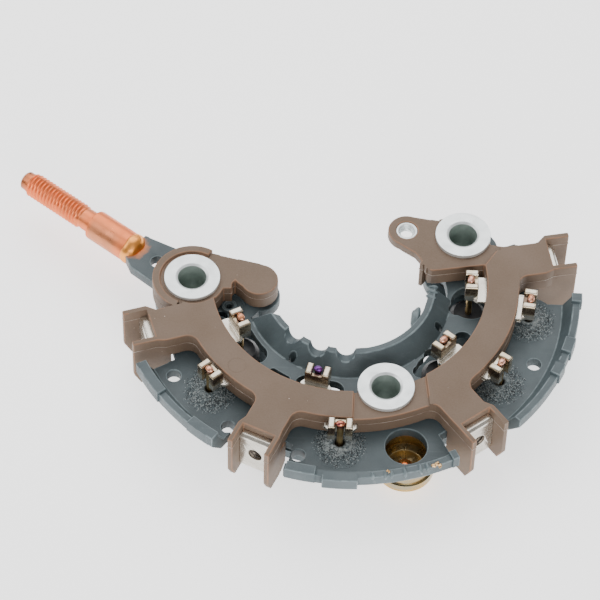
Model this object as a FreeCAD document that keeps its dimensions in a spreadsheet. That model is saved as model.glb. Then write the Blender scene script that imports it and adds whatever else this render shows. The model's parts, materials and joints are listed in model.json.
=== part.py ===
"""Alternator rectifier: two horseshoe heat sinks, eight diodes and a moulded terminal board.

Millimetres. The origin is where the alternator's shaft line meets the seat plane, +Z points
from the seat towards the terminal board, and the horseshoe opens towards +Y. Azimuths are
measured about the shaft line, anticlockwise from +X as seen from above.
"""
import FreeCAD, Part
import math
import os
import re
import Sketcher

os.makedirs("parts", exist_ok=True)
doc = FreeCAD.newDocument("rectifier")
sheet = doc.addObject("Spreadsheet::Sheet", "Sizes")

# Driving dimensions, one row each: alias, value, what it is
SIZES = [
    # Heights of the stack, from the seat plane up
    ("foot_thickness", 1.0, "rolled foot of each mounting bush"),
    ("sink_thickness", 2.8, "aluminium of both heat sinks"),
    ("sink_gap", 5.4, "air gap between the heat sinks"),
    ("board_gap", 0.8, "air under the board, away from its feet"),
    ("board_thickness", 6.0, "moulded board"),
    ("pad_drop", 0.8, "step from the board's top down to its bolting pads"),
    ("washer_thickness", 1.0, "head of each mounting bush"),
    ("fit_gap", 0.05, "clearance round a piece that is moulded in or slipped in"),
    ("seat_gap", 0.3, "clearance between a piece and a seat it does not touch"),
    # Ring of the terminal board, which every other radius follows
    ("board_inner_radius", 32.0, "inside edge of the board's ring"),
    ("board_width", 7.5, "width of the board's ring"),
    ("board_outer_radius", "=board_inner_radius + board_width", "outside edge of the ring"),
    ("board_start", 187.0, "azimuth where the ring leaves the left pad"),
    ("board_end", 375.5, "azimuth where the ring meets the right pad"),
    # Mounting bushes
    ("bush_bore_radius", 3.2, "clearance for the mounting bolt"),
    ("bush_radius", 4.2, "tube of the bush"),
    ("washer_radius", 6.5, "head of the bush"),
    ("foot_radius", 5.4, "rolled foot of the bush"),
    ("bush_chamfer", 0.3, "edges of the bush"),
    ("sleeve_radius", 4.9, "insulating sleeve through the positive sink"),
    ("spacer_radius", 5.8, "insulating spacer between the sinks"),
    ("left_bolt_step", 4.6, "left bolt, outwards of the board's inside edge"),
    ("left_bolt_radius", "=board_inner_radius + left_bolt_step", "left bolt, from the shaft line"),
    ("left_bolt_angle", 181.4, "left bolt, azimuth"),
    ("front_bolt_step", -0.2, "front bolt, outwards of the board's inside edge"),
    ("front_bolt_radius", "=board_inner_radius + front_bolt_step", "front bolt, from the shaft line"),
    ("front_bolt_angle", 285.8, "front bolt, azimuth"),
    ("right_bolt_step", -2.1, "right bolt, outwards of the board's inside edge"),
    ("right_bolt_radius", "=board_inner_radius + right_bolt_step", "right bolt, from the shaft line"),
    ("right_bolt_angle", 27.6, "right bolt, azimuth"),
    # Pads, left arm and ear of the board
    ("left_rim_radius", 9.3, "rim on the outer side of the left pad"),
    ("left_rim_start", 62.0, "rim, first direction seen from the left bolt"),
    ("left_rim_end", 248.0, "rim, last direction seen from the left bolt"),
    ("left_pocket_radius", 7.5, "pocket inside that rim"),
    ("left_pad_radius", 7.7, "left pad on its inner side"),
    ("bolt_boss_radius", 6.7, "feet of the board round its bolts"),
    ("bridge_reach", 15.59, "round end of the left arm, across from the left bolt"),
    ("bridge_rise", 0.49, "round end of the left arm, back from the left bolt"),
    ("bridge_end_x", "=left_bolt_radius * cos(left_bolt_angle) + bridge_reach", "that end's centre"),
    ("bridge_end_y", "=left_bolt_radius * sin(left_bolt_angle) + bridge_rise", "that end's centre"),
    ("bridge_end_radius", 4.4, "round end of the left arm"),
    ("ear_reach", 13.2, "ear, across from the right bolt"),
    ("ear_rise", 1.55, "ear, back from the right bolt"),
    ("ear_x", "=right_bolt_radius * cos(right_bolt_angle) - ear_reach", "centre of the ear"),
    ("ear_y", "=right_bolt_radius * sin(right_bolt_angle) + ear_rise", "centre of the ear"),
    ("ear_radius", 4.4, "round end of the ear"),
    ("ear_thickness", 2.4, "ear and its waist, from the pad's top down"),
    ("blade_depth", 2.2, "locating blade below the positive sink's top"),
    ("root_fillet", 2.6, "where the terminal arms meet the ring"),
    ("front_drop_start", 272.9, "azimuth where the front pad's step starts"),
    ("front_drop_end", 306.5, "azimuth where the front pad's step ends"),
    # Phase terminals
    ("terminal_angle_1", 197.7, "azimuth of the first phase terminal"),
    ("terminal_angle_2", 245.5, "azimuth of the second phase terminal"),
    ("terminal_angle_3", 307.3, "azimuth of the third phase terminal"),
    ("terminal_angle_4", 371.4, "azimuth of the fourth phase terminal"),
    ("neck_width", 9.2, "arm between the ring and its fins"),
    ("neck_shift_1", 1.1, "first neck, off the line of its terminal"),
    ("neck_shift_2", 0.3, "second neck, off the line of its terminal"),
    ("neck_shift_3", -0.6, "third neck, off the line of its terminal"),
    ("neck_shift_4", -1.3, "fourth neck, off the line of its terminal"),
    ("neck_reach", 6.1, "necks, from the ring to where they widen"),
    ("neck_end", "=board_outer_radius + neck_reach", "where the necks start to widen"),
    ("arm_width", 10.3, "arm with its two fins"),
    ("arm_flare", 2.1, "length over which a neck widens to the fins"),
    ("arm_end", "=neck_end + arm_flare", "end face of the arm's block, from the shaft line"),
    ("fin_thickness", 1.25, "fin on each side of a terminal"),
    ("fin_length", 5.6, "fins outwards of the arm's end face"),
    ("fin_end", "=arm_end + fin_length", "outer edge of the fins, from the shaft line"),
    ("fin_drop", 9.0, "fins below the board's underside"),
    ("fin_chamfer_out", 1.6, "lower corner of a fin, outwards"),
    ("fin_chamfer_up", 3.6, "lower corner of a fin, upwards"),
    ("block_length", 3.3, "deep block inwards of the arm's end face"),
    ("block_drop", 7.4, "deep block below the board's underside"),
    ("strap_thickness", 0.9, "tinned sheet of the phase straps"),
    ("strap_depth", 2.2, "top of a strap below the board's top"),
    ("tab_width", 7.7, "screw tab of a strap"),
    ("run_width", 5.2, "strap between the ring and its screw tab"),
    ("tab_lead", 0.3, "start of the screw tab outwards of the neck's end"),
    ("run_end", "=neck_end + tab_lead", "where the strap widens to the screw tab"),
    ("tab_reach", 1.9, "screw face out from the arm's end"),
    ("tab_bend", 1.0, "outside bend of the screw tab"),
    ("tab_drop", 7.2, "lower edge of the screw tab below the board's underside"),
    ("screw_drop", 1.9, "axis of the terminal screw below the board's underside"),
    ("screw_radius", 1.65, "thread's core in tab and nut"),
    ("nut_width", 7.0, "square nut behind the screw tab"),
    ("nut_thickness", 2.6, "square nut"),
    ("band_width", 3.6, "strap inside the board's ring"),
    ("clip_base_width", 7.2, "root of a lead clip"),
    ("clip_width", 5.6, "lead clip over its two prongs"),
    ("clip_gap", 2.4, "between the prongs"),
    ("clip_web", 0.9, "web behind the lead"),
    ("clip_depth", 3.0, "prongs, along the radius"),
    ("clip_web_rise", 0.8, "top of the web above the board"),
    ("clip_rise", 1.8, "top of the prongs above the board"),
    # Diodes
    ("outer_angle_1", 222.0, "outer diode of the first phase"),
    ("outer_angle_2", 267.9, "outer diode of the second phase"),
    ("outer_angle_3", 325.4, "outer diode of the third phase"),
    ("outer_angle_4", 352.4, "outer diode of the fourth phase"),
    ("inner_angle_1", 208.0, "inner diode of the first phase"),
    ("inner_angle_2", 256.1, "inner diode of the second phase"),
    ("inner_angle_3", 320.2, "inner diode of the third phase"),
    ("inner_angle_4", 359.0, "inner diode of the fourth phase"),
    ("outer_lead_gap", 2.8, "outer leads, outwards of the board's ring"),
    ("outer_lead_radius", "=board_outer_radius + outer_lead_gap", "outer leads, from the shaft line"),
    ("inner_lead_gap", 3.8, "inner leads, inwards of the board's ring"),
    ("inner_lead_radius", "=board_inner_radius - inner_lead_gap", "inner leads, from the shaft line"),
    ("lead_radius", 0.75, "diode lead"),
    ("lead_head_radius", 1.1, "welded tip of a lead"),
    ("lead_head", 1.2, "length of the welded tip"),
    ("lead_rise", 2.2, "top of the leads above the board"),
    ("outer_case_radius", 5.2, "case of an outer diode"),
    ("outer_case_drop", 4.6, "case of an outer diode below its sink"),
    ("dome_radius", 6.0, "sealing dome over an outer diode"),
    ("dome_height", 0.8, "dome above the heat sink"),
    ("dome_well", 1.5, "well in the dome round the lead"),
    ("inner_case_radius", 4.4, "case of an inner diode"),
    ("inner_case_rise", 3.8, "case of an inner diode above its sink"),
    # Positive heat sink, with the upturned rim and flange
    ("inner_floor", 4.5, "floor from the inner leads to the flange"),
    ("sink_inner_radius", "=inner_lead_radius - inner_floor", "crease of the inner flange"),
    ("flange_lean", 3.7, "flange, inwards over its height"),
    ("flange_top_radius", "=sink_inner_radius - flange_lean", "outer face of the flange at its top"),
    ("flange_wall", 1.5, "flange at its top"),
    ("flange_foot", 2.4, "flange at its root, inwards of the crease"),
    ("flange_height", 4.5, "flange above the floor"),
    ("flange_start", 199.0, "azimuth of the flange's left end"),
    ("flange_end", 359.0, "azimuth of the flange's right end"),
    ("bite_angle", 229.5, "azimuth of the first bite in the flange"),
    ("bite_step", 19.5, "from one bite to the next"),
    ("bite_radius", 2.3, "radius of a bite"),
    ("bite_rise", 5.2, "centre of the bites above the floor"),
    ("mid_floor", 0.5, "floor outwards of the outer leads, where there is no rim"),
    ("sink_mid_radius", "=outer_lead_radius + mid_floor", "ring of the sink where it has no rim"),
    ("sink_start", 180.0, "azimuth where the sink's ring starts"),
    ("sink_end", 383.5, "azimuth where the sink's ring ends"),
    ("outer_floor", 7.7, "floor from the outer leads to the rim"),
    ("rim_crease_radius", "=outer_lead_radius + outer_floor", "crease between floor and rim"),
    ("rim_lean", 2.2, "rim, outwards over its height"),
    ("rim_inner_radius", "=rim_crease_radius + rim_lean", "inner edge of the rim's top"),
    ("rim_wall", 2.1, "rim at its top"),
    ("rim_outer_radius", "=rim_inner_radius + rim_wall", "outer face of the rim"),
    ("rim_height", 4.8, "rim's tabs above the floor"),
    ("rim_face", 3.7, "upright outer face of the rim"),
    ("rim_foot", 0.9, "underside of the rim outwards of the crease"),
    ("tab_rise", 0.8, "rim's tabs above the rest of it"),
    ("tab_step", 0.4, "rim's tabs beyond the rest of it, to both sides"),
    ("bulge_step", 0.8, "bulge of the rim beyond its tabs"),
    ("bulge_start", 264.3, "azimuth where the rim's bulge starts"),
    ("bulge_span", 8.4, "angle over the rim's bulge"),
    ("slot_gap", 0.8, "slots for the arms, outwards of the sink's plain ring"),
    ("slot_start", "=sink_mid_radius + slot_gap", "slots for the terminal arms, inner end"),
    ("slot_neck", 6.7, "half width of a slot at its inner end"),
    ("slot_mouth", 9.4, "half width of a slot at the rim"),
    ("rim_end", 359.2, "azimuth where the rim stops short of the fourth arm"),
    ("lug_angle", 142.9, "direction of the stud and its lug"),
    ("lug_length", 19.8, "lug, from the left bolt"),
    ("lug_end_width", 8.4, "lug at the stud"),
    ("lug_hole_radius", 1.6, "hole in the lug"),
    ("lug_hole_step", 7.2, "hole in the lug, from the lug's end"),
    ("tongue_radius", 4.9, "end of the sink under the left arm"),
    ("vent_radius", 1.6, "small holes in the floor"),
    ("vent_step", 4.4, "small holes, outwards of the outer leads"),
    ("vent_angle_1", 211.5, "first small hole"),
    ("vent_angle_2", 234.9, "second small hole"),
    ("vent_angle_3", 256.6, "third small hole"),
    ("vent_angle_4", 337.0, "fourth small hole"),
    ("kidney_radius", 2.6, "half width of the two kidneys over inner diodes"),
    ("kidney_inset", 0.7, "kidneys, inwards of the inner leads"),
    ("kidney_angle_1", 206.5, "azimuth where the first kidney starts"),
    ("kidney_angle_2", 250.0, "azimuth where the second kidney starts"),
    ("kidney_span", 13.0, "angle between the ends of a kidney"),
    ("gill_radius", 0.9, "half width of the narrow slot between the kidneys"),
    ("gill_angle", 232.6, "azimuth where that slot starts"),
    ("gill_span", 7.4, "angle between the ends of that slot"),
    ("cup_hole_radius", 4.75, "hole over the brass cup"),
    ("cup_radius", 6.7, "brass cup"),
    ("cup_ring", "=front_bolt_radius + spacer_radius + cup_radius", "brass cup, from the shaft line"),
    ("cup_angle", 287.8, "brass cup, azimuth"),
    # Negative heat sink
    ("base_inset", 1.9, "negative sink inwards of the positive one's crease"),
    ("base_inner_radius", "=sink_inner_radius - base_inset", "inside edge of the negative sink"),
    ("base_step", 1.5, "negative sink outwards of the board's ring"),
    ("base_outer_radius", "=board_outer_radius + base_step", "outside edge of the negative sink"),
    ("base_start", 184.0, "azimuth where the negative sink starts"),
    ("base_end", 380.0, "azimuth where the negative sink ends"),
    ("bolt_disc_radius", 8.8, "sinks round their bolts"),
    # Stud of the output terminal
    ("stud_offset", -2.28, "stud axis to the side of the left bolt"),
    ("shoulder_radius", 3.7, "plain shoulder of the stud"),
    ("shoulder_length", 12.4, "plain shoulder of the stud"),
    ("neck_radius", 2.65, "relief between shoulder and thread"),
    ("neck_length", 2.9, "relief between shoulder and thread"),
    ("thread_radius", 3.0, "thread of the stud"),
    ("thread_length", 17.0, "thread of the stud"),
    ("point_radius", 2.3, "dog point of the stud"),
    ("point_length", 1.9, "dog point of the stud"),
    # Small pieces
    ("insert_radius", 2.5, "threaded insert in the ear"),
    ("insert_bore_radius", 1.65, "core of the insert's thread"),
    ("cup_wall", 0.8, "brass cup"),
    ("cup_depth", 5.8, "brass cup below the positive sink"),
    ("cup_band", 2.2, "wide band at the cup's foot"),
    ("eyelet_radius", 1.9, "copper eyelet in the cup"),
    ("eyelet_bore_radius", 0.6, "bore of that eyelet"),
    ("rivet_radius", 1.2, "shank of the rivet in the positive sink"),
    ("rivet_bore_radius", 0.7, "bore of that rivet"),
    ("rivet_head_radius", 2.1, "head of that rivet"),
    ("rivet_head", 0.6, "head of that rivet"),
    ("rivet_angle", 188.4, "azimuth of that rivet, on the ring of the inner leads"),
]
for row, (alias, size, note) in enumerate(SIZES, start=1):
    sheet.set("A%d" % row, note)
    sheet.set("B%d" % row, str(size))
    sheet.setAlias("B%d" % row, alias)
doc.recompute()
ALIASES = {alias for alias, size, note in SIZES}

# Heights worked out from the stack
NEG_BOTTOM = "foot_thickness"
NEG_TOP = "(foot_thickness + sink_thickness)"
POS_BOTTOM = "(foot_thickness + sink_thickness + sink_gap)"
POS_TOP = "(foot_thickness + 2 * sink_thickness + sink_gap)"
BOARD_BOTTOM = "(%s + board_gap)" % POS_TOP
BOARD_TOP = "(%s + board_thickness)" % BOARD_BOTTOM
PAD_TOP = "(%s - pad_drop)" % BOARD_TOP
WASHER_TOP = "(%s + washer_thickness)" % PAD_TOP
STRAP_TOP = "(%s - strap_depth)" % BOARD_TOP
STRAP_BOTTOM = "(%s - strap_thickness)" % STRAP_TOP
STUD_HEIGHT = "(%s - sink_thickness / 2)" % POS_TOP
FLANGE_TOP = "(%s + flange_height)" % POS_TOP
RIM_TOP = "(%s + rim_height)" % POS_TOP
BITE_HEIGHT = "(%s + bite_rise)" % POS_TOP
INNER_CASE_TOP = "(%s + inner_case_rise)" % NEG_TOP
SCREW_HEIGHT = "(%s - screw_drop)" % BOARD_BOTTOM
TAB_BOTTOM = "(%s - tab_drop)" % BOARD_BOTTOM
CLIP_WEB_TOP = "(%s + clip_web_rise)" % BOARD_TOP
CLIP_TOP = "(%s + clip_rise)" % BOARD_TOP
LEAD_TOP = "(%s + lead_rise)" % BOARD_TOP
CUP_BOTTOM = "(%s - cup_depth)" % POS_BOTTOM
BAND_MIDDLE = "((board_inner_radius + board_outer_radius) / 2)"

# Azimuths of the rim's raised tabs, from and to
RIM_TABS = (
    ("206.0", "217.4"),
    ("228.2", "237.2"),
    ("255.2", "262.6"),
    ("296.2", "301.0"),
    ("311.9", "316.2"),
    ("333.0", "336.6"),
    ("340.6", "345.2"),
    ("356.6", "359.2"),
)
# Openings round two of the inner leads: phase, across and back from the lead, radius
LEAD_OPENINGS = (
    (3, "-1.8", "-2.3", "4.0"),
    (4, "0.3", "-0.5", "4.6"),
)
# Lobes that widen those openings, given in the same way
LOBES = (
    (3, "-2.2", "1.5", "1.9"),
    (3, "-4.9", "-3.1", "1.7"),
    (4, "-3.1", "-2.4", "1.7"),
)
# Lesser round openings in the floor: outwards of the inner leads, azimuth, radius
ROUND_OPENINGS = (
    ("0.8", "336.4", "2.1"),
    ("2.2", "193.4", "1.5"),
)
# Small holes in the flange's crease: azimuths
CREASE_HOLES = ("236.0", "336.6")
WORDS = re.compile(r"[a-z_][a-z_0-9]*")


def bound(text):
    """An expression for another object's property, with each alias looked up in the sheet."""
    return WORDS.sub(lambda m: "Sizes." + m.group() if m.group() in ALIASES else m.group(), text)


def number(text):
    """The present value of an expression."""
    return float(sheet.evalExpression(text))


def polar(radius, angle):
    """A point at a distance from the shaft line and an azimuth."""
    return "(%s) * cos(%s)" % (radius, angle), "(%s) * sin(%s)" % (radius, angle)


def beside(spot, across, back):
    """A point across (+X) and back (+Y) from another."""
    return "%s + (%s)" % (spot[0], across), "%s + (%s)" % (spot[1], back)


def new_body(name):
    body = doc.addObject("PartDesign::Body", name)
    body.Label = name
    return body


def new_sketch(body, name, role, height=None, turn=None, at=None):
    """A sketch on one of the body's own origin planes.

    On XY_Plane height lifts it and turn swings it about Z. On XZ_Plane turn swings the plane
    about Z, so that its x runs outwards along that azimuth and its y runs up.
    """
    plane = [feature for feature in body.Origin.OriginFeatures if feature.Role == role][0]
    sketch = body.newObject("Sketcher::SketchObject", name)
    sketch.AttachmentSupport = [(plane, "")]
    sketch.MapMode = "FlatFace"
    axis = FreeCAD.Vector(0, 0, 1) if role == "XY_Plane" else FreeCAD.Vector(0, 1, 0)
    degrees = number(turn) if turn else 0.0
    sketch.AttachmentOffset = FreeCAD.Placement(FreeCAD.Vector(), FreeCAD.Rotation(axis, degrees))
    if turn:
        sketch.setExpression("AttachmentOffset.Rotation.Angle", bound(turn))
    if height:
        sketch.setExpression("AttachmentOffset.Base.z", bound(height))
    if at:
        sketch.setExpression("AttachmentOffset.Base.x", bound(at[0]))
        sketch.setExpression("AttachmentOffset.Base.y", bound(at[1]))
    return sketch


def hold(sketch, wanted):
    """Driving constraints, each (kind, geometry, position, text), that follow expressions."""
    made = []
    for kind, geometry, position, text in wanted:
        if kind == "Radius":
            made.append(Sketcher.Constraint("Radius", geometry, number(text)))
        else:
            made.append(Sketcher.Constraint(kind, -1, 1, geometry, position, number(text)))
    first = sketch.ConstraintCount
    sketch.addConstraint(made)
    for index, item in enumerate(wanted, start=first):
        if WORDS.search(item[3]):
            sketch.setExpression("Constraints[%d]" % index, bound(item[3]))


def add_circle(sketch, x, y, radius):
    centre = FreeCAD.Vector(number(x), number(y), 0)
    circle = Part.Circle(centre, FreeCAD.Vector(0, 0, 1), number(radius))
    geometry = sketch.addGeometry(circle, False)
    hold(sketch, [
        ("DistanceX", geometry, 3, x),
        ("DistanceY", geometry, 3, y),
        ("Radius", geometry, 0, radius),
    ])


def add_loop(sketch, items):
    """A closed outline: corners ("x", "y"), and ("arc", radius, side) between two corners.

    side is 1 where the arc bulges to the right of the way from corner to corner and -1 where
    it bulges to the left. Each arc is less than half a circle.
    """
    corners = [item for item in items if item[0] != "arc"]
    arcs = {}
    count = 0
    for item in items:
        if item[0] == "arc":
            arcs[count - 1] = item
        else:
            count += 1
    spots = [FreeCAD.Vector(number(x), number(y), 0) for x, y in corners]
    shapes = []
    ends = []
    for index, spot in enumerate(spots):
        following = spots[(index + 1) % count]
        forward = True
        if index in arcs:
            radius = number(arcs[index][1])
            forward = arcs[index][2] > 0
            chord = following - spot
            left = FreeCAD.Vector(-chord.y, chord.x, 0).normalize()
            rise = math.sqrt(max(radius ** 2 - chord.Length ** 2 / 4, 0.0))
            centre = (spot + following) * 0.5 + left * rise * arcs[index][2]
            first, last = (spot, following) if forward else (following, spot)
            start = math.atan2(first.y - centre.y, first.x - centre.x)
            end = math.atan2(last.y - centre.y, last.x - centre.x)
            circle = Part.Circle(centre, FreeCAD.Vector(0, 0, 1), radius)
            shapes.append(Part.ArcOfCircle(circle, start, end))
        else:
            shapes.append(Part.LineSegment(spot, following))
        ends.append((1, 2) if forward else (2, 1))
    base = sketch.GeometryCount
    sketch.addGeometry(shapes, False)
    joins = []
    for index, (start, end) in enumerate(ends):
        following = (index + 1) % count
        joins.append(Sketcher.Constraint(
            "Coincident", base + index, end, base + following, ends[following][0]))
    sketch.addConstraint(joins)
    wanted = []
    for index, (x, y) in enumerate(corners):
        wanted.append(("DistanceX", base + index, ends[index][0], x))
        wanted.append(("DistanceY", base + index, ends[index][0], y))
        if index in arcs:
            wanted.append(("Radius", base + index, 0, arcs[index][1]))
    hold(sketch, wanted)


def add_kidney(sketch, ring, start, span, radius):
    """A slot of one width that follows an arc about the shaft line."""
    end = "%s + %s" % (start, span)

    def tip(angle, way):
        x, y = polar(ring, angle)
        return ("%s - (%s) * (%s) * sin(%s)" % (x, way, radius, angle),
                "%s + (%s) * (%s) * cos(%s)" % (y, way, radius, angle))

    outside = "%s + %s" % (ring, radius)
    inside = "%s - %s" % (ring, radius)
    add_loop(sketch, [
        polar(outside, start),
        ("arc", outside, 1),
        polar(outside, end),
        ("arc", radius, 1),
        tip(end, "1"),
        ("arc", radius, 1),
        polar(inside, end),
        ("arc", inside, -1),
        polar(inside, start),
        ("arc", radius, 1),
        tip(start, "-1"),
        ("arc", radius, 1),
    ])


def pad(body, name, sketch, length, symmetric=False):
    feature = body.newObject("PartDesign::Pad", name)
    feature.Profile = sketch
    feature.SideType = "Symmetric" if symmetric else "One side"
    feature.setExpression("Length", bound(length))
    sketch.Visibility = False
    return feature


def pocket(body, name, sketch, length, symmetric=False, up=True):
    """Cuts upwards from the sketch, or to both sides of it."""
    feature = body.newObject("PartDesign::Pocket", name)
    feature.Profile = sketch
    feature.SideType = "Symmetric" if symmetric else "One side"
    feature.Reversed = up
    feature.setExpression("Length", bound(length))
    sketch.Visibility = False
    return feature


def revolve(body, name, outline, start=None, span=None):
    """Turns an outline of (radius, height) corners about the body's Z axis."""
    sketch = new_sketch(body, name + "_section", "XZ_Plane", turn=start)
    add_loop(sketch, outline)
    feature = body.newObject("PartDesign::Revolution", name)
    feature.Profile = sketch
    feature.ReferenceAxis = (sketch, ["V_Axis"])
    feature.Angle = 360.0
    if span:
        feature.setExpression("Angle", bound(span))
    sketch.Visibility = False
    return feature


def place(body, x, y, turn=None):
    """Puts a body that was drawn at the origin in its own place."""
    degrees = number(turn) if turn else 0.0
    body.Placement = FreeCAD.Placement(
        FreeCAD.Vector(number(x), number(y), 0),
        FreeCAD.Rotation(FreeCAD.Vector(0, 0, 1), degrees))
    body.setExpression("Placement.Base.x", bound(x))
    body.setExpression("Placement.Base.y", bound(y))
    if turn:
        body.setExpression("Placement.Rotation.Angle", bound(turn))


BOLTS = {
    side: polar(side + "_bolt_radius", side + "_bolt_angle") for side in ("left", "front", "right")
}
PHASES = (1, 2, 3, 4)
# Sides of each terminal arm that meet the ring with a fillet: 1 anticlockwise, -1 clockwise
ROOTS = {1: (1,), 2: (1, -1), 3: (1, -1), 4: (-1,)}


# Mounting bushes: hollow steel rivets that hold the stack together
def mounting_bush(side):
    body = new_body("mounting_bush_" + side)
    revolve(body, "bush_" + side, [
        ("bush_bore_radius", "0"),
        ("foot_radius", "0"),
        ("foot_radius", "foot_thickness"),
        ("bush_radius", "foot_thickness"),
        ("bush_radius", PAD_TOP),
        ("washer_radius", PAD_TOP),
        ("washer_radius", WASHER_TOP + " - bush_chamfer"),
        ("washer_radius - bush_chamfer", WASHER_TOP),
        ("bush_bore_radius + 2 * bush_chamfer", WASHER_TOP),
        ("bush_bore_radius", WASHER_TOP + " - 2 * bush_chamfer"),
    ])
    place(body, *BOLTS[side])
    return body


# Insulators: a spacer between the sinks with a sleeve through the positive one
def insulator(side):
    body = new_body("insulator_" + side)
    revolve(body, "spacer_" + side, [
        ("bush_radius + fit_gap", NEG_TOP),
        ("spacer_radius", NEG_TOP),
        ("spacer_radius", POS_BOTTOM),
        ("sleeve_radius", POS_BOTTOM),
        ("sleeve_radius", POS_TOP),
        ("bush_radius + fit_gap", POS_TOP),
    ])
    place(body, *BOLTS[side])
    return body


# Positive heat sink: the wide upper plate, with its upturned rim, flange and output lug
def positive_heat_sink():
    body = new_body("positive_heat_sink")
    revolve(body, "floor", [
        ("sink_inner_radius - flange_foot / 4", POS_BOTTOM),
        ("sink_mid_radius", POS_BOTTOM),
        ("sink_mid_radius", POS_TOP),
        ("sink_inner_radius - flange_foot / 4", POS_TOP),
    ], "sink_start", "sink_end - sink_start")
    revolve(body, "rim", [
        ("slot_start - 2", POS_BOTTOM),
        ("rim_crease_radius + rim_foot", POS_BOTTOM),
        ("rim_outer_radius - tab_step", RIM_TOP + " - rim_face"),
        ("rim_outer_radius - tab_step", RIM_TOP + " - tab_rise"),
        ("rim_inner_radius", RIM_TOP + " - tab_rise"),
        ("rim_crease_radius", POS_TOP),
        ("slot_start - 2", POS_TOP),
    ], "terminal_angle_1", "rim_end - terminal_angle_1")
    for index, (start, end) in enumerate(RIM_TABS, start=1):
        revolve(body, "rim_tab_%d" % index, [
            ("rim_inner_radius + rim_wall / 4", RIM_TOP + " - 3 * tab_rise"),
            ("rim_outer_radius - 2 * tab_step", RIM_TOP + " - rim_face"),
            ("rim_outer_radius", RIM_TOP + " - rim_face + tab_step"),
            ("rim_outer_radius", RIM_TOP),
            ("rim_inner_radius - tab_step", RIM_TOP),
            ("rim_inner_radius - tab_step", RIM_TOP + " - tab_rise"),
        ], start, "%s - %s" % (end, start))
    revolve(body, "rim_bulge", [
        ("rim_crease_radius + rim_foot", POS_BOTTOM + " + fit_gap"),
        ("rim_outer_radius + bulge_step", RIM_TOP + " - rim_face"),
        ("rim_outer_radius + bulge_step", RIM_TOP + " - tab_rise / 2"),
        ("rim_inner_radius + rim_wall / 4", RIM_TOP + " - tab_rise / 2"),
    ], "bulge_start", "bulge_span")
    revolve(body, "flange", [
        ("sink_inner_radius - flange_foot", POS_BOTTOM),
        ("sink_inner_radius + 1", POS_BOTTOM),
        ("sink_inner_radius + 1", POS_TOP),
        ("sink_inner_radius", POS_TOP),
        ("flange_top_radius", FLANGE_TOP),
        ("flange_top_radius - flange_wall", FLANGE_TOP),
    ], "flange_start", "flange_end - flange_start")

    skew = new_sketch(body, "flange_end_outline", "XY_Plane", "0")
    add_loop(skew, [
        polar("sink_inner_radius + 0.2", "flange_start - 1"),
        polar("flange_top_radius - flange_wall - 0.6", "flange_start + 14"),
        polar("flange_top_radius - 6", "flange_start + 6"),
        polar("sink_inner_radius", "flange_start - 8"),
    ])
    pocket(body, "flange_end_cut", skew, "rim_outer_radius / 2")

    discs = new_sketch(body, "bolt_discs_outline", "XY_Plane", POS_BOTTOM)
    add_circle(discs, *BOLTS["left"], "bolt_disc_radius")
    add_circle(discs, *BOLTS["right"], "bolt_disc_radius")
    pad(body, "bolt_discs", discs, "sink_thickness")

    lug = new_sketch(body, "lug_outline", "XY_Plane", POS_BOTTOM, "lug_angle", BOLTS["left"])
    add_loop(lug, [
        ("0", "-bolt_disc_radius + 0.2"),
        ("lug_length - 7.8", "-bolt_disc_radius + 0.7"),
        ("lug_length", "stud_offset - lug_end_width / 2"),
        ("lug_length", "stud_offset + lug_end_width / 2 - 0.8"),
        ("lug_length - 3.2", "stud_offset + lug_end_width / 2 + 1.0"),
        ("lug_length - 11.8", "3.2"),
        ("bolt_disc_radius - 3.8", "6.8"),
        ("0", "bolt_disc_radius - 0.6"),
    ])
    pad(body, "lug", lug, "sink_thickness")

    tongue = new_sketch(body, "tongue_outline", "XY_Plane", POS_BOTTOM)
    add_circle(tongue, "bridge_end_x", "bridge_end_y", "tongue_radius")
    pad(body, "tongue_end", tongue, "sink_thickness")
    web = new_sketch(body, "tongue_web_outline", "XY_Plane", POS_BOTTOM)
    add_loop(web, [
        ("bridge_end_x + 0.6", "bridge_end_y + tongue_radius - 0.1"),
        beside(BOLTS["left"], "5.6", "4.9"),
        beside(BOLTS["left"], "5.6", "-7.1"),
        beside(BOLTS["left"], "14.2", "-6.1"),
        ("bridge_end_x + 0.4", "bridge_end_y - tongue_radius + 0.1"),
    ])
    pad(body, "tongue_web", web, "sink_thickness")

    for phase in PHASES[:-1]:
        angle = "terminal_angle_%d" % phase
        slot = new_sketch(body, "slot_outline_%d" % phase, "XY_Plane", "0", angle)
        add_loop(slot, [
            ("slot_start", "-slot_neck"),
            ("rim_outer_radius + 2", "-slot_mouth"),
            ("rim_outer_radius + 2", "slot_mouth"),
            ("slot_start", "slot_neck"),
        ])
        pocket(body, "slot_%d" % phase, slot, WASHER_TOP)

    bores = new_sketch(body, "bores_outline", "XY_Plane", "0")
    for side in BOLTS:
        add_circle(bores, *BOLTS[side], "sleeve_radius + fit_gap")
    for phase in PHASES:
        centre = polar("outer_lead_radius", "outer_angle_%d" % phase)
        add_circle(bores, *centre, "outer_case_radius + fit_gap")
    add_circle(bores, *polar("cup_ring", "cup_angle"), "cup_hole_radius")
    for hole in (1, 2, 3, 4):
        centre = polar("outer_lead_radius + vent_step", "vent_angle_%d" % hole)
        add_circle(bores, *centre, "vent_radius")
    add_circle(bores, *polar("inner_lead_radius", "rivet_angle"), "rivet_radius + fit_gap")
    pocket(body, "bores", bores, WASHER_TOP)

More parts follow.
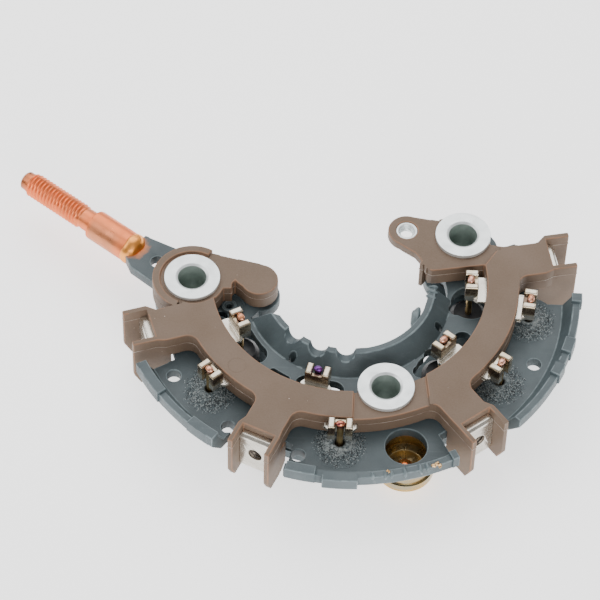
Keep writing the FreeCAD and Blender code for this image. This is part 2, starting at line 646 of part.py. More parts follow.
    openings = new_sketch(body, "openings_outline", "XY_Plane", "0")
    for phase, across, back, radius in LEAD_OPENINGS:
        lead = polar("inner_lead_radius", "inner_angle_%d" % phase)
        add_circle(openings, *beside(lead, across, back), radius)
    for step, angle, radius in ROUND_OPENINGS:
        add_circle(openings, *polar("inner_lead_radius + " + step, angle), radius)
    for angle in CREASE_HOLES:
        add_circle(openings, *polar("sink_inner_radius - gill_radius", angle), "gill_radius")
    kidneys = "inner_lead_radius - kidney_inset"
    add_kidney(openings, kidneys, "kidney_angle_1", "kidney_span", "kidney_radius")
    add_kidney(openings, kidneys, "kidney_angle_2", "kidney_span", "kidney_radius")
    add_kidney(openings, "inner_lead_radius", "gill_angle", "gill_span", "gill_radius")
    pocket(body, "openings", openings, WASHER_TOP)
    lobes = new_sketch(body, "lobes_outline", "XY_Plane", "0")
    for phase, across, back, radius in LOBES:
        lead = polar("inner_lead_radius", "inner_angle_%d" % phase)
        add_circle(lobes, *beside(lead, across, back), radius)
    pocket(body, "lobes", lobes, WASHER_TOP)

    bite = new_sketch(body, "bite_outline", "XZ_Plane", turn="bite_angle + 90")
    add_circle(bite, "0", BITE_HEIGHT, "bite_radius")
    first_bite = pocket(body, "bite", bite, "rim_outer_radius / 2")
    bites = body.newObject("PartDesign::PolarPattern", "bites")
    bites.Originals = [first_bite]
    bites.Axis = (bite, ["V_Axis"])
    bites.Occurrences = 3
    bites.setExpression("Angle", bound("2 * bite_step"))
    body.Tip = bites

    lug_hole = new_sketch(body, "lug_hole_outline", "XY_Plane", "0", "lug_angle", BOLTS["left"])
    add_circle(lug_hole, "lug_length - lug_hole_step", "stud_offset", "lug_hole_radius")
    pocket(body, "lug_hole", lug_hole, WASHER_TOP)
    return body


# Negative heat sink: the plain lower plate, which is earthed through the bushes
def negative_heat_sink():
    body = new_body("negative_heat_sink")
    revolve(body, "base", [
        ("base_inner_radius", NEG_BOTTOM),
        ("base_outer_radius", NEG_BOTTOM),
        ("base_outer_radius", NEG_TOP),
        ("base_inner_radius", NEG_TOP),
    ], "base_start", "base_end - base_start")
    discs = new_sketch(body, "base_discs_outline", "XY_Plane", NEG_BOTTOM)
    add_circle(discs, *BOLTS["left"], "bolt_disc_radius")
    add_circle(discs, *BOLTS["right"], "bolt_disc_radius")
    pad(body, "base_discs", discs, "sink_thickness")
    bores = new_sketch(body, "base_bores_outline", "XY_Plane", "0")
    for side in BOLTS:
        add_circle(bores, *BOLTS[side], "bush_radius + fit_gap")
    for phase in PHASES:
        centre = polar("inner_lead_radius", "inner_angle_%d" % phase)
        add_circle(bores, *centre, "inner_case_radius + fit_gap")
    pocket(body, "base_bores", bores, WASHER_TOP)
    relief = new_sketch(body, "cup_relief_outline", "XY_Plane", "0")
    add_circle(relief, *polar("cup_ring", "cup_angle"), "cup_radius + 1.5")
    pocket(body, "cup_relief", relief, WASHER_TOP)
    return body


# Terminal board: the moulded ring with its pads, left arm, ear and four terminal arms
def terminal_board():
    body = new_body("terminal_board")
    revolve(body, "ring", [
        ("board_inner_radius", BOARD_BOTTOM),
        ("board_outer_radius", BOARD_BOTTOM),
        ("board_outer_radius", BOARD_TOP),
        ("board_inner_radius", BOARD_TOP),
    ], "board_start", "board_end - board_start")

    rim = new_sketch(body, "left_rim_outline", "XY_Plane", BOARD_BOTTOM, at=BOLTS["left"])
    add_loop(rim, [
        ("0", "0"),
        polar("left_rim_radius", "left_rim_start"),
        ("arc", "left_rim_radius", 1),
        polar("left_rim_radius", "(left_rim_start + left_rim_end) / 2"),
        ("arc", "left_rim_radius", 1),
        polar("left_rim_radius", "left_rim_end"),
    ])
    pad(body, "left_rim", rim, "board_thickness")
    left = new_sketch(body, "left_pad_outline", "XY_Plane", BOARD_BOTTOM)
    add_circle(left, *BOLTS["left"], "left_pad_radius")
    pad(body, "left_pad", left, "board_thickness - pad_drop")

    bridge = new_sketch(body, "bridge_outline", "XY_Plane", BOARD_BOTTOM)
    add_loop(bridge, [
        ("bridge_end_x + 1.0", "bridge_end_y + bridge_end_radius - 0.12"),
        beside(BOLTS["left"], "4.0", "7.8"),
        beside(BOLTS["left"], "2.1", "-1.1"),
        beside(BOLTS["left"], "7.0", "-2.4"),
        beside(BOLTS["left"], "9.3", "-2.4"),
        beside(BOLTS["left"], "9.3", "-0.9"),
        beside(BOLTS["left"], "10.0", "0"),
        beside(BOLTS["left"], "10.7", "-0.8"),
        beside(BOLTS["left"], "12.4", "-2.2"),
        ("bridge_end_x - 1.0", "bridge_end_y - bridge_end_radius + 0.12"),
    ])
    pad(body, "bridge", bridge, "board_thickness - pad_drop")
    bridge_end = new_sketch(body, "bridge_end_outline", "XY_Plane", BOARD_BOTTOM)
    add_circle(bridge_end, "bridge_end_x", "bridge_end_y", "bridge_end_radius")
    pad(body, "bridge_end", bridge_end, "board_thickness - pad_drop")

    front = new_sketch(body, "front_pad_outline", "XY_Plane", BOARD_BOTTOM)
    add_circle(front, *BOLTS["front"], "washer_radius - 0.1")
    pad(body, "front_pad", front, "board_thickness - pad_drop")

    right = new_sketch(body, "right_pad_outline", "XY_Plane", BOARD_BOTTOM)
    add_loop(right, [
        beside(BOLTS["right"], "-8.6", "-8.65"),
        beside(BOLTS["right"], "-8.2", "-9.85"),
        beside(BOLTS["right"], "-7.1", "-10.25"),
        beside(BOLTS["right"], "6.1", "-7.95"),
        beside(BOLTS["right"], "9.5", "-5.85"),
        beside(BOLTS["right"], "10", "-2.55"),
        beside(BOLTS["right"], "6.5", "-2.05"),
        beside(BOLTS["right"], "5.5", "3.15"),
        beside(BOLTS["right"], "0", "6.35"),
        beside(BOLTS["right"], "-5.4", "5.05"),
        beside(BOLTS["right"], "-8.6", "-0.35"),
    ])
    pad(body, "right_pad", right, "board_thickness - pad_drop")
    ear = new_sketch(body, "ear_outline", "XY_Plane", PAD_TOP + " - ear_thickness")
    add_circle(ear, "ear_x", "ear_y", "ear_radius")
    pad(body, "ear", ear, "ear_thickness")
    waist = new_sketch(body, "waist_outline", "XY_Plane", PAD_TOP + " - ear_thickness")
    add_loop(waist, [
        ("ear_x + 0.3", "ear_y + ear_radius - 0.05"),
        ("ear_x - 2.6", "ear_y - ear_radius + 1.0"),
        ("ear_x - 0.5", "ear_y - ear_radius - 0.6"),
        ("ear_x + 1.9", "ear_y - ear_radius - 2.2"),
        ("ear_x + 3.0", "ear_y - ear_radius - 3.7"),
        beside(BOLTS["right"], "-8.6", "-9.65"),
        beside(BOLTS["right"], "-6.9", "-8.85"),
        beside(BOLTS["right"], "-2.5", "-5.85"),
        beside(BOLTS["right"], "-5.2", "4.55"),
    ])
    pad(body, "waist", waist, "ear_thickness")
    blade = new_sketch(body, "locating_blade_outline", "XY_Plane", POS_TOP + " - blade_depth")
    add_loop(blade, [
        beside(BOLTS["right"], "-10.3", "-8.35"),
        beside(BOLTS["right"], "-9.4", "-8.75"),
        beside(BOLTS["right"], "-8.2", "-6.95"),
        beside(BOLTS["right"], "-9.1", "-6.45"),
    ])
    pad(body, "locating_blade", blade, "blade_depth + board_gap + board_thickness - pad_drop")

    feet = new_sketch(body, "feet_outline", "XY_Plane", POS_TOP)
    add_circle(feet, *BOLTS["left"], "bolt_boss_radius")
    add_circle(feet, *BOLTS["front"], "washer_radius - 0.2")
    add_circle(feet, *BOLTS["right"], "bolt_boss_radius")
    pad(body, "feet", feet, "board_gap")

    for phase in PHASES:
        angle = "terminal_angle_%d" % phase
        shift = "neck_shift_%d" % phase
        neck = new_sketch(body, "neck_outline_%d" % phase, "XY_Plane", BOARD_BOTTOM, angle)
        add_loop(neck, [
            ("board_outer_radius - 3", shift + " - neck_width / 2"),
            ("neck_end", shift + " - neck_width / 2"),
            ("arm_end", "-arm_width / 2"),
            ("arm_end", "arm_width / 2"),
            ("neck_end", shift + " + neck_width / 2"),
            ("board_outer_radius - 3", shift + " + neck_width / 2"),
        ])
        pad(body, "neck_%d" % phase, neck, "board_thickness")
        for side in ROOTS[phase]:
            root_fillet(body, phase, side)
        fins = new_sketch(body, "fin_side_%d" % phase, "XZ_Plane", turn=angle)
        add_loop(fins, [
            ("arm_end - block_length", BOARD_BOTTOM),
            ("arm_end - block_length", BOARD_BOTTOM + " - block_drop"),
            ("arm_end - 1", BOARD_BOTTOM + " - fin_drop"),
            ("fin_end - fin_chamfer_out", BOARD_BOTTOM + " - fin_drop"),
            ("fin_end", BOARD_BOTTOM + " - fin_drop + fin_chamfer_up"),
            ("fin_end", BOARD_TOP),
            ("arm_end", BOARD_TOP),
            ("arm_end", BOARD_BOTTOM),
        ])
        pad(body, "fins_%d" % phase, fins, "arm_width", symmetric=True)
        mouth = new_sketch(body, "mouth_outline_%d" % phase, "XY_Plane", "0", angle)
        add_loop(mouth, [
            ("arm_end", "-arm_width / 2 + fin_thickness"),
            ("fin_end + 1", "-arm_width / 2 + fin_thickness"),
            ("fin_end + 1", "arm_width / 2 - fin_thickness"),
            ("arm_end", "arm_width / 2 - fin_thickness"),
        ])
        pocket(body, "mouth_%d" % phase, mouth, WASHER_TOP)

    left_pocket = new_sketch(body, "left_pocket_outline", "XY_Plane", PAD_TOP)
    add_circle(left_pocket, *BOLTS["left"], "left_pocket_radius")
    pocket(body, "left_pocket", left_pocket, "pad_drop + 1")
    front_drop = new_sketch(body, "front_drop_outline", "XY_Plane", PAD_TOP)
    add_loop(front_drop, [
        polar("board_inner_radius - 3", "front_drop_start"),
        polar("board_outer_radius + 1", "front_drop_start - 1.2"),
        polar("board_outer_radius + 2.2", "(front_drop_start + front_drop_end) / 2 - 4.7"),
        polar("board_outer_radius + 1", "front_drop_end - 9"),
        polar("board_inner_radius - 3", "front_drop_end"),
    ])
    pocket(body, "front_drop", front_drop, "pad_drop + 1")
    right_drop = new_sketch(body, "right_drop_outline", "XY_Plane", PAD_TOP)
    add_loop(right_drop, [
        beside(BOLTS["right"], "4.9", "-8.95"),
        beside(BOLTS["right"], "8.8", "-2.75"),
        beside(BOLTS["right"], "9.5", "0.15"),
        beside(BOLTS["right"], "-6.5", "10.15"),
        beside(BOLTS["right"], "-12.5", "-9.85"),
    ])
    pocket(body, "right_drop", right_drop, "pad_drop + 1")

    bores = new_sketch(body, "board_bores_outline", "XY_Plane", "0")
    for side in BOLTS:
        add_circle(bores, *BOLTS[side], "bush_radius + fit_gap")
    add_circle(bores, "ear_x", "ear_y", "insert_radius + fit_gap")
    pocket(body, "board_bores", bores, WASHER_TOP)

    rooms = body.newObject("PartDesign::Boolean", "strap_rooms")
    rooms.Type = "Cut"
    rooms.setObjects([strap_room(phase) for phase in PHASES])
    body.Tip = rooms
    return body


# A fillet where an arm's neck meets the ring, on one side of the neck
def root_fillet(body, phase, side):
    edge = "(neck_shift_%d + %d * neck_width / 2)" % (phase, side)
    centre = "(%s + %d * root_fillet)" % (edge, side)
    reach = "sqrt((board_outer_radius + root_fillet) ^ 2 - %s ^ 2)" % centre
    share = "board_outer_radius / (board_outer_radius + root_fillet)"
    name = "%d_%s" % (phase, "left" if side > 0 else "right")
    root = new_sketch(body, "root_outline_" + name, "XY_Plane", BOARD_BOTTOM,
                      "terminal_angle_%d" % phase)
    add_loop(root, [
        ("board_outer_radius - 3", edge),
        (reach, edge),
        ("arc", "root_fillet", -side),
        ("%s * %s" % (reach, share), "%s * %s" % (centre, share)),
        ("board_outer_radius - 3", "%s * %s" % (centre, share)),
    ])
    pad(body, "root_" + name, root, "board_thickness")


# The room that a phase strap and its nut take up inside the board
def strap_room(phase):
    body = new_body("strap_room_%d" % phase)
    angle = "terminal_angle_%d" % phase
    outer = "outer_angle_%d" % phase
    inner = "inner_angle_%d" % phase
    height = STRAP_BOTTOM + " - fit_gap"
    depth = "strap_thickness + 2 * fit_gap"
    band = "(band_width / 2 + fit_gap)"
    run = new_sketch(body, "run_room_%d" % phase, "XY_Plane", height, angle)
    add_loop(run, [
        (BAND_MIDDLE + " - " + band, "-run_width / 2 - fit_gap"),
        ("run_end - fit_gap", "-run_width / 2 - fit_gap"),
        ("run_end - fit_gap", "-tab_width / 2 - fit_gap"),
        ("arm_end + 0.5", "-tab_width / 2 - fit_gap"),
        ("arm_end + 0.5", "tab_width / 2 + fit_gap"),
        ("run_end - fit_gap", "tab_width / 2 + fit_gap"),
        ("run_end - fit_gap", "run_width / 2 + fit_gap"),
        (BAND_MIDDLE + " - " + band, "run_width / 2 + fit_gap"),
    ])
    pad(body, "run_space_%d" % phase, run, depth)
    first, last = (angle, outer) if phase < 4 else (outer, angle)
    revolve(body, "band_space_%d" % phase, [
        (BAND_MIDDLE + " - " + band, height),
        (BAND_MIDDLE + " + " + band, height),
        (BAND_MIDDLE + " + " + band, STRAP_TOP + " + fit_gap"),
        (BAND_MIDDLE + " - " + band, STRAP_TOP + " + fit_gap"),
    ], first, "%s - %s" % (last, first))
    for side, where, low, high in (
            ("out", outer, BAND_MIDDLE, "board_outer_radius + 1"),
            ("in", inner, "board_inner_radius - 1", BAND_MIDDLE)):
        window = new_sketch(body, "clip_%s_room_%d" % (side, phase), "XY_Plane", height, where)
        add_loop(window, [
            (low, "-clip_base_width / 2 - fit_gap"),
            (high, "-clip_base_width / 2 - fit_gap"),
            (high, "clip_base_width / 2 + fit_gap"),
            (low, "clip_base_width / 2 + fit_gap"),
        ])
        pad(body, "clip_%s_space_%d" % (side, phase), window, depth)
    nut = new_sketch(body, "nut_room_%d" % phase, "XY_Plane",
                     SCREW_HEIGHT + " - nut_width / 2 - fit_gap", angle)
    add_loop(nut, [
        ("arm_end - nut_thickness + 0.4", "-nut_width / 2 - fit_gap"),
        ("arm_end + 0.5", "-nut_width / 2 - fit_gap"),
        ("arm_end + 0.5", "nut_width / 2 + fit_gap"),
        ("arm_end - nut_thickness + 0.4", "nut_width / 2 + fit_gap"),
    ])
    pad(body, "nut_space_%d" % phase, nut,
        STRAP_BOTTOM + " - " + SCREW_HEIGHT + " + nut_width / 2 + fit_gap")
    return body


# Phase straps: screw tab, band inside the board, and a clip for each of two diode leads
def phase_strap(phase):
    body = new_body("phase_strap_%d" % phase)
    angle = "terminal_angle_%d" % phase
    outer = "outer_angle_%d" % phase
    inner = "inner_angle_%d" % phase
    face = "arm_end + tab_reach"
    run = new_sketch(body, "run_outline_%d" % phase, "XY_Plane", STRAP_BOTTOM, angle)
    add_loop(run, [
        (BAND_MIDDLE + " - band_width / 2", "-run_width / 2"),
        ("run_end + 0.5", "-run_width / 2"),
        ("run_end + 0.5", "run_width / 2"),
        (BAND_MIDDLE + " - band_width / 2", "run_width / 2"),
    ])
    pad(body, "run_strip_%d" % phase, run, "strap_thickness")
    tab = new_sketch(body, "tab_side_%d" % phase, "XZ_Plane", turn=angle)
    add_loop(tab, [
        ("run_end", STRAP_BOTTOM),
        (face + " - tab_bend", STRAP_BOTTOM),
        (face + " - strap_thickness", STRAP_TOP + " - tab_bend"),
        (face + " - strap_thickness", TAB_BOTTOM),
        (face, TAB_BOTTOM),
        (face, STRAP_TOP + " - tab_bend"),
        ("arc", "tab_bend", 1),
        (face + " - tab_bend", STRAP_TOP),
        ("run_end", STRAP_TOP),
    ])
    pad(body, "tab_%d" % phase, tab, "tab_width", symmetric=True)
    first, last = (angle, outer) if phase < 4 else (outer, angle)
    revolve(body, "band_%d" % phase, [
        (BAND_MIDDLE + " - band_width / 2", STRAP_BOTTOM),
        (BAND_MIDDLE + " + band_width / 2", STRAP_BOTTOM),
        (BAND_MIDDLE + " + band_width / 2", STRAP_TOP),
        (BAND_MIDDLE + " - band_width / 2", STRAP_TOP),
    ], first, "%s - %s" % (last, first))
    lead_clip(body, "out_%d" % phase, outer, "outer_lead_radius", 1)
    lead_clip(body, "in_%d" % phase, inner, "inner_lead_radius", -1)
    screw = new_sketch(body, "screw_outline_%d" % phase, "XZ_Plane", turn=angle + " + 90")
    add_circle(screw, "0", SCREW_HEIGHT, "screw_radius")
    pocket(body, "screw_%d" % phase, screw, "fin_end * 2", symmetric=True)
    return body


# One lead clip: a root out of the board's side, a web behind the lead and two prongs
def lead_clip(body, name, angle, lead, way):
    sign = "" if way > 0 else "-"
    behind = "%s - (%s1) * (lead_radius + fit_gap)" % (lead, sign)
    web = "%s - (%s1) * clip_web" % (behind, sign)
    front = "%s + (%s1) * clip_depth" % (web, sign)
    root = new_sketch(body, "clip_root_" + name, "XY_Plane", STRAP_BOTTOM, angle)
    add_loop(root, [
        (BAND_MIDDLE, "-clip_base_width / 2"),
        (web, "-clip_base_width / 2"),
        (behind, "-clip_width / 2"),
        (behind, "clip_width / 2"),
        (web, "clip_base_width / 2"),
        (BAND_MIDDLE, "clip_base_width / 2"),
    ])
    pad(body, "clip_root_pad_" + name, root, "strap_thickness")
    fork = new_sketch(body, "clip_fork_" + name, "XY_Plane", STRAP_BOTTOM, angle)
    add_loop(fork, [
        (web, "-clip_width / 2"),
        (front, "-clip_width / 2"),
        (front, "-clip_gap / 2"),
        (behind, "-clip_gap / 2"),
        (behind, "clip_gap / 2"),
        (front, "clip_gap / 2"),
        (front, "clip_width / 2"),
        (web, "clip_width / 2"),
    ])
    pad(body, "clip_fork_pad_" + name, fork, CLIP_WEB_TOP + " - " + STRAP_BOTTOM)
    prongs = new_sketch(body, "clip_prongs_" + name, "XY_Plane", CLIP_WEB_TOP, angle)
    for near, far in (("-clip_width / 2", "-clip_gap / 2"), ("clip_gap / 2", "clip_width / 2")):
        add_loop(prongs, [(web, near), (front, near), (front, far), (web, far)])
    pad(body, "clip_prong_pads_" + name, prongs, CLIP_TOP + " - " + CLIP_WEB_TOP)


# Square nuts behind the screw tabs
def terminal_nut(phase):
    body = new_body("terminal_nut_%d" % phase)
    block = new_sketch(body, "nut_outline_%d" % phase, "XY_Plane", SCREW_HEIGHT + " - nut_width / 2")
    back = "arm_end + tab_reach - strap_thickness - nut_thickness"
    add_loop(block, [
        (back, "-nut_width / 2"),
        (back + " + nut_thickness", "-nut_width / 2"),
        (back + " + nut_thickness", "nut_width / 2"),
        (back, "nut_width / 2"),
    ])
    pad(body, "nut_block_%d" % phase, block, "nut_width")
    thread = new_sketch(body, "nut_thread_%d" % phase, "XZ_Plane", turn="90")
    add_circle(thread, "0", SCREW_HEIGHT, "screw_radius")
    pocket(body, "nut_bore_%d" % phase, thread, "fin_end * 2", symmetric=True)
    place(body, "0", "0", "terminal_angle_%d" % phase)
    return body


# Outer diodes: pressed into the positive sink, with a sealing dome on its top
def outer_diode(phase):
    body = new_body("outer_diode_%d" % phase)
    revolve(body, "outer_case_%d" % phase, [
        ("0", POS_BOTTOM + " - outer_case_drop"),
        ("outer_case_radius", POS_BOTTOM + " - outer_case_drop"),
        ("outer_case_radius", POS_TOP),
        ("dome_radius", POS_TOP),
        ("2 * lead_radius", POS_TOP + " + dome_height"),
        ("lead_radius", POS_TOP + " + dome_height - dome_well"),
        ("0", POS_TOP + " + dome_height - dome_well"),
    ])
    place(body, *polar("outer_lead_radius", "outer_angle_%d" % phase))
    return body


# Inner diodes: pressed into the negative sink, under the positive one
def inner_diode(phase):
    body = new_body("inner_diode_%d" % phase)
    revolve(body, "inner_case_%d" % phase, [
        ("0", "seat_gap"),
        ("inner_case_radius", "seat_gap"),
        ("inner_case_radius", INNER_CASE_TOP + " - 1"),
        ("inner_case_radius - 1", INNER_CASE_TOP),
        ("0", INNER_CASE_TOP),
    ])
    place(body, *polar("inner_lead_radius", "inner_angle_%d" % phase))
    return body


# Diode leads: copper wire from the diode to its clip, with the tip melted into the weld
def diode_lead(name, bottom, radius, angle):
    body = new_body(name)
    revolve(body, name + "_wire", [
        ("0", bottom),
        ("lead_radius", bottom),
        ("lead_radius", LEAD_TOP + " - lead_head"),
        ("lead_head_radius", LEAD_TOP + " - lead_head / 2"),
        ("lead_radius", LEAD_TOP),
        ("0", LEAD_TOP),
    ])
    place(body, *polar(radius, angle))
    return body


# Output stud: dog point, thread, relief and shoulder, butted to the lug
def b_plus_stud():
    body = new_body("b_plus_stud")
    shoulder = "shoulder_length"
    neck = shoulder + " + neck_length"
    thread = neck + " + thread_length"
    profile = new_sketch(body, "stud_section", "XY_Plane")
    add_loop(profile, [
        ("0", "0"),
        (thread + " + point_length", "0"),
        (thread + " + point_length", "point_radius - 0.3"),
        (thread + " + point_length - 0.3", "point_radius"),
        (thread + " + 0.7", "point_radius"),
        (thread, "thread_radius"),
        (neck, "thread_radius"),
        (neck + " - 0.4", "neck_radius"),
        (shoulder, "neck_radius"),
        (shoulder, "shoulder_radius - 0.4"),
        (shoulder + " - 0.4", "shoulder_radius"),
        ("1.4", "shoulder_radius"),
        ("0", "shoulder_radius - 1.2"),
    ])
    turn = body.newObject("PartDesign::Revolution", "stud")
    turn.Profile = profile
    turn.ReferenceAxis = (profile, ["H_Axis"])
    turn.Angle = 360.0
    profile.Visibility = False
    left = BOLTS["left"]
    along = "lug_length"
    x = "%s + %s * cos(lug_angle) - stud_offset * sin(lug_angle)" % (left[0], along)
    y = "%s + %s * sin(lug_angle) + stud_offset * cos(lug_angle)" % (left[1], along)
    place(body, x, y, "lug_angle")
    body.setExpression("Placement.Base.z", bound(STUD_HEIGHT))
    return body


# Threaded insert in the board's ear
def ear_insert():
    body = new_body("ear_insert")
    revolve(body, "insert", [
        ("insert_bore_radius", PAD_TOP + " - ear_thickness"),
        ("insert_radius", PAD_TOP + " - ear_thickness"),
        ("insert_radius", PAD_TOP + " - 0.2"),
        ("insert_bore_radius + 0.5", PAD_TOP + " - 0.2"),
        ("insert_bore_radius", PAD_TOP + " - 0.7"),
    ])
    place(body, "ear_x", "ear_y")
    return body


# Brass cup under the large hole of the positive sink
def brass_cup():
    body = new_body("brass_cup")
    revolve(body, "cup", [
        ("rivet_radius + fit_gap", CUP_BOTTOM),
        ("cup_radius", CUP_BOTTOM),
        ("cup_radius", CUP_BOTTOM + " + cup_band"),
        ("cup_radius - 0.5", CUP_BOTTOM + " + cup_band"),
        ("cup_radius - 0.5", POS_BOTTOM),
        ("cup_radius - 0.5 - cup_wall", POS_BOTTOM),
        ("cup_radius - 0.5 - cup_wall", CUP_BOTTOM + " + cup_band"),
        ("cup_radius - 3 * cup_wall", CUP_BOTTOM + " + cup_wall"),
        ("rivet_radius + fit_gap", CUP_BOTTOM + " + cup_wall"),
    ])
    place(body, *polar("cup_ring", "cup_angle"))
    return body


# Copper eyelet in the floor of the cup
def cup_eyelet():
    body = new_body("cup_eyelet")
    revolve(body, "eyelet", [
        ("eyelet_bore_radius", CUP_BOTTOM + " - 0.3"),
        ("eyelet_radius", CUP_BOTTOM + " - 0.3"),
        ("eyelet_radius", CUP_BOTTOM),
        ("rivet_radius", CUP_BOTTOM),
        ("rivet_radius", CUP_BOTTOM + " + cup_wall"),
        ("eyelet_radius", CUP_BOTTOM + " + cup_wall"),
        ("eyelet_bore_radius", CUP_BOTTOM + " + cup_wall + 0.6"),
    ])
    place(body, *polar("cup_ring", "cup_angle"))
    return body


# Rivet in the positive sink beside the left pad
def sink_rivet():
    body = new_body("sink_rivet")
    revolve(body, "rivet", [
        ("rivet_bore_radius", POS_BOTTOM + " - rivet_head"),
        ("rivet_head_radius", POS_BOTTOM + " - rivet_head"),
        ("rivet_head_radius", POS_BOTTOM),
        ("rivet_radius", POS_BOTTOM),
        ("rivet_radius", POS_TOP),
        ("rivet_head_radius", POS_TOP),
        ("rivet_head_radius - 0.4", POS_TOP + " + rivet_head"),
        ("rivet_radius", POS_TOP + " + rivet_head"),
        ("rivet_bore_radius", POS_TOP + " + rivet_head / 4"),
    ])
    place(body, *polar("inner_lead_radius", "rivet_angle"))
    return body


bodies = [positive_heat_sink(), negative_heat_sink(), terminal_board()]
for side in BOLTS:
    bodies += [mounting_bush(side), insulator(side)]
for phase in PHASES:
    bodies += [phase_strap(phase), terminal_nut(phase), outer_diode(phase), inner_diode(phase)]
    bodies.append(diode_lead("outer_lead_%d" % phase, POS_TOP + " + dome_height - dome_well",
                             "outer_lead_radius", "outer_angle_%d" % phase))
    bodies.append(diode_lead("inner_lead_%d" % phase, INNER_CASE_TOP,
                             "inner_lead_radius", "inner_angle_%d" % phase))
bodies += [b_plus_stud(), ear_insert(), brass_cup(), cup_eyelet(), sink_rivet()]
doc.recompute()

# Nothing is written unless every object is sound
for thing in doc.Objects:
    if "Invalid" in thing.State or "Error" in thing.State:
        raise RuntimeError("%s is %s" % (thing.Label, thing.State))
for body in bodies:
    shape = body.Shape
    if shape.isNull() or not shape.isValid() or not shape.Solids:
        raise RuntimeError("%s has no sound shape" % body.Label)
for body in bodies:
    body.Shape.exportStep("parts/%s.step" % body.Label)
    print("%-22s %8.1f mm3, %d solid(s)" % (body.Label, body.Shape.Volume, len(body.Shape.Solids)))
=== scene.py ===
"""Finishes, fine detail and studio for the alternator rectifier."""

import json
import math

import bmesh
import bpy
from bpy.props import FloatProperty, FloatVectorProperty, IntProperty, PointerProperty
from mathutils import Matrix, Vector, kdtree, noise


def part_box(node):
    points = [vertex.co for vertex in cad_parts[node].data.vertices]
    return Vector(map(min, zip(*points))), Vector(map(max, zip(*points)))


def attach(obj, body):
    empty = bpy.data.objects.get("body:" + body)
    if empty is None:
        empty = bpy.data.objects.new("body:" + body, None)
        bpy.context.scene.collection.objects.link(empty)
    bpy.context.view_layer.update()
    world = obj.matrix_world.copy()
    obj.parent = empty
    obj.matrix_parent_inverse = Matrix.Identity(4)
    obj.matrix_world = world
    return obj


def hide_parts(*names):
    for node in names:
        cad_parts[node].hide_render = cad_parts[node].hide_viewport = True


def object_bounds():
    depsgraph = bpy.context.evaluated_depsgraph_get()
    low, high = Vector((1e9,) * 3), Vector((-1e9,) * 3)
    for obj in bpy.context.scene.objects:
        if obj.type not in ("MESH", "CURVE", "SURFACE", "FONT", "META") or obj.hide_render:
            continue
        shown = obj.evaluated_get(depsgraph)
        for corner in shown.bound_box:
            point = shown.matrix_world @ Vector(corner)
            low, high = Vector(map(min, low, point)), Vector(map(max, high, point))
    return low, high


bl_info = {
    "name": "Alternator rectifier dressing",
    "version": (1, 0, 0),
    "blender": (4, 5, 0),
    "location": "3D View > Sidebar > Rectifier",
    "description": "Finishes, threads, weld beads and studio around the packed rectifier",
    "category": "Object",
}

MM = 0.001
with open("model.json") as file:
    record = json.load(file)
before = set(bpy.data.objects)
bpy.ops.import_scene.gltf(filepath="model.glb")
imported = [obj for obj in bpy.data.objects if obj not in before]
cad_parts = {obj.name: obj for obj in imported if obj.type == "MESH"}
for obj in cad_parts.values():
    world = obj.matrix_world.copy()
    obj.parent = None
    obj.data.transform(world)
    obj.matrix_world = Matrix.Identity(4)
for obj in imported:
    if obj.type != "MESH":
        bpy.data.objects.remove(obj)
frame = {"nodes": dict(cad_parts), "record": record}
CAD_BOX = [list(corner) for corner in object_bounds()]
MOUNTS = {mount["name"]: mount for mount in frame["record"]["mounts"]}
PHASES = (1, 2, 3, 4)
SIDES = ("left", "front", "right")
UP = Vector((0.0, 0.0, 1.0))
BLACK = (0.0, 0.0, 0.0)
WHITE = (1.0, 1.0, 1.0)

# Lengths along the output stud: plain shoulder, relief, thread and point
STUD_SHOULDER = 12.4 * MM
STUD_NECK = 2.9 * MM
STUD_THREAD = MOUNTS["output_stud"]["dims"]["length_mm"] * MM
STUD_POINT = 1.9 * MM
STUD_LENGTH = STUD_SHOULDER + STUD_NECK + STUD_THREAD + STUD_POINT

# Weld bead at the stud's foot: radius in millimetres, and distance along the stud in bead widths
WELD_PROFILE = (
    (1.2, -1.35),
    (1.7, -1.28),
    (2.35, -1.05),
    (2.95, -0.75),
    (3.45, -0.38),
    (3.76, -0.02),
    (3.88, 0.35),
    (3.84, 0.65),
    (3.72, 0.85),
    (3.4, 0.90),
)

# Ejector pin's mark on the board: its azimuth and distance from the shaft line
MARK_AZIMUTH = 225.6
MARK_DISTANCE = 36.1 * MM
# The mark, and the ring pressed round the rivet: radius, and profile in millimetres about it
MARK_RADIUS = 2.02 * MM
MARK_PROFILE = ((-0.12, -0.10), (-0.06, 0.03), (0.06, 0.03), (0.12, -0.10))
RIVET_RING_RADIUS = 3.65 * MM
RIVET_RING_PROFILE = ((-0.30, -0.20), (-0.20, 0.10), (0.0, 0.20), (0.20, 0.10), (0.30, -0.20))

# Thick runs of coating on the rim: distance from the shaft line, size along the rim and in height,
# and for each its azimuth, and its size away from the shaft line in millimetres
RUN_DISTANCE = 53.4 * MM
RUN_WIDTH = 0.85 * MM
RUN_DEPTH = 1.9 * MM
COATING_RUNS = ((276.4, 1.56), (279.4, 2.16), (280.9, 1.8), (284.2, 2.64), (288.0, 2.76), (289.8, 2.52))
# Chips in the coating: height below the rim's top, and for each its distance from the shaft line
# in millimetres, azimuth and relative size
CHIP_DROP = 0.8 * MM
COATING_CHIPS = ((53.6, 292.2, 1.5), (52.6, 280.1, 0.9))

# Torn bits at the right end of the inner flange: centre and size in millimetres, and turn in degrees
TORN_BITS = (
    ((15.5, -8.1, 14.4), (2.4, 5.6, 3.4), -10.0),
    ((17.2, -9.6, 14.9), (1.6, 4.2, 2.4), -28.0),
    ((19.5, 0.0, 16.2), (2.6, 0.8, 1.3), -8.0),
    ((19.3, -1.4, 16.2), (2.5, 0.8, 1.4), -14.0),
    ((19.0, -2.9, 16.2), (2.4, 0.9, 1.2), -20.0),
)

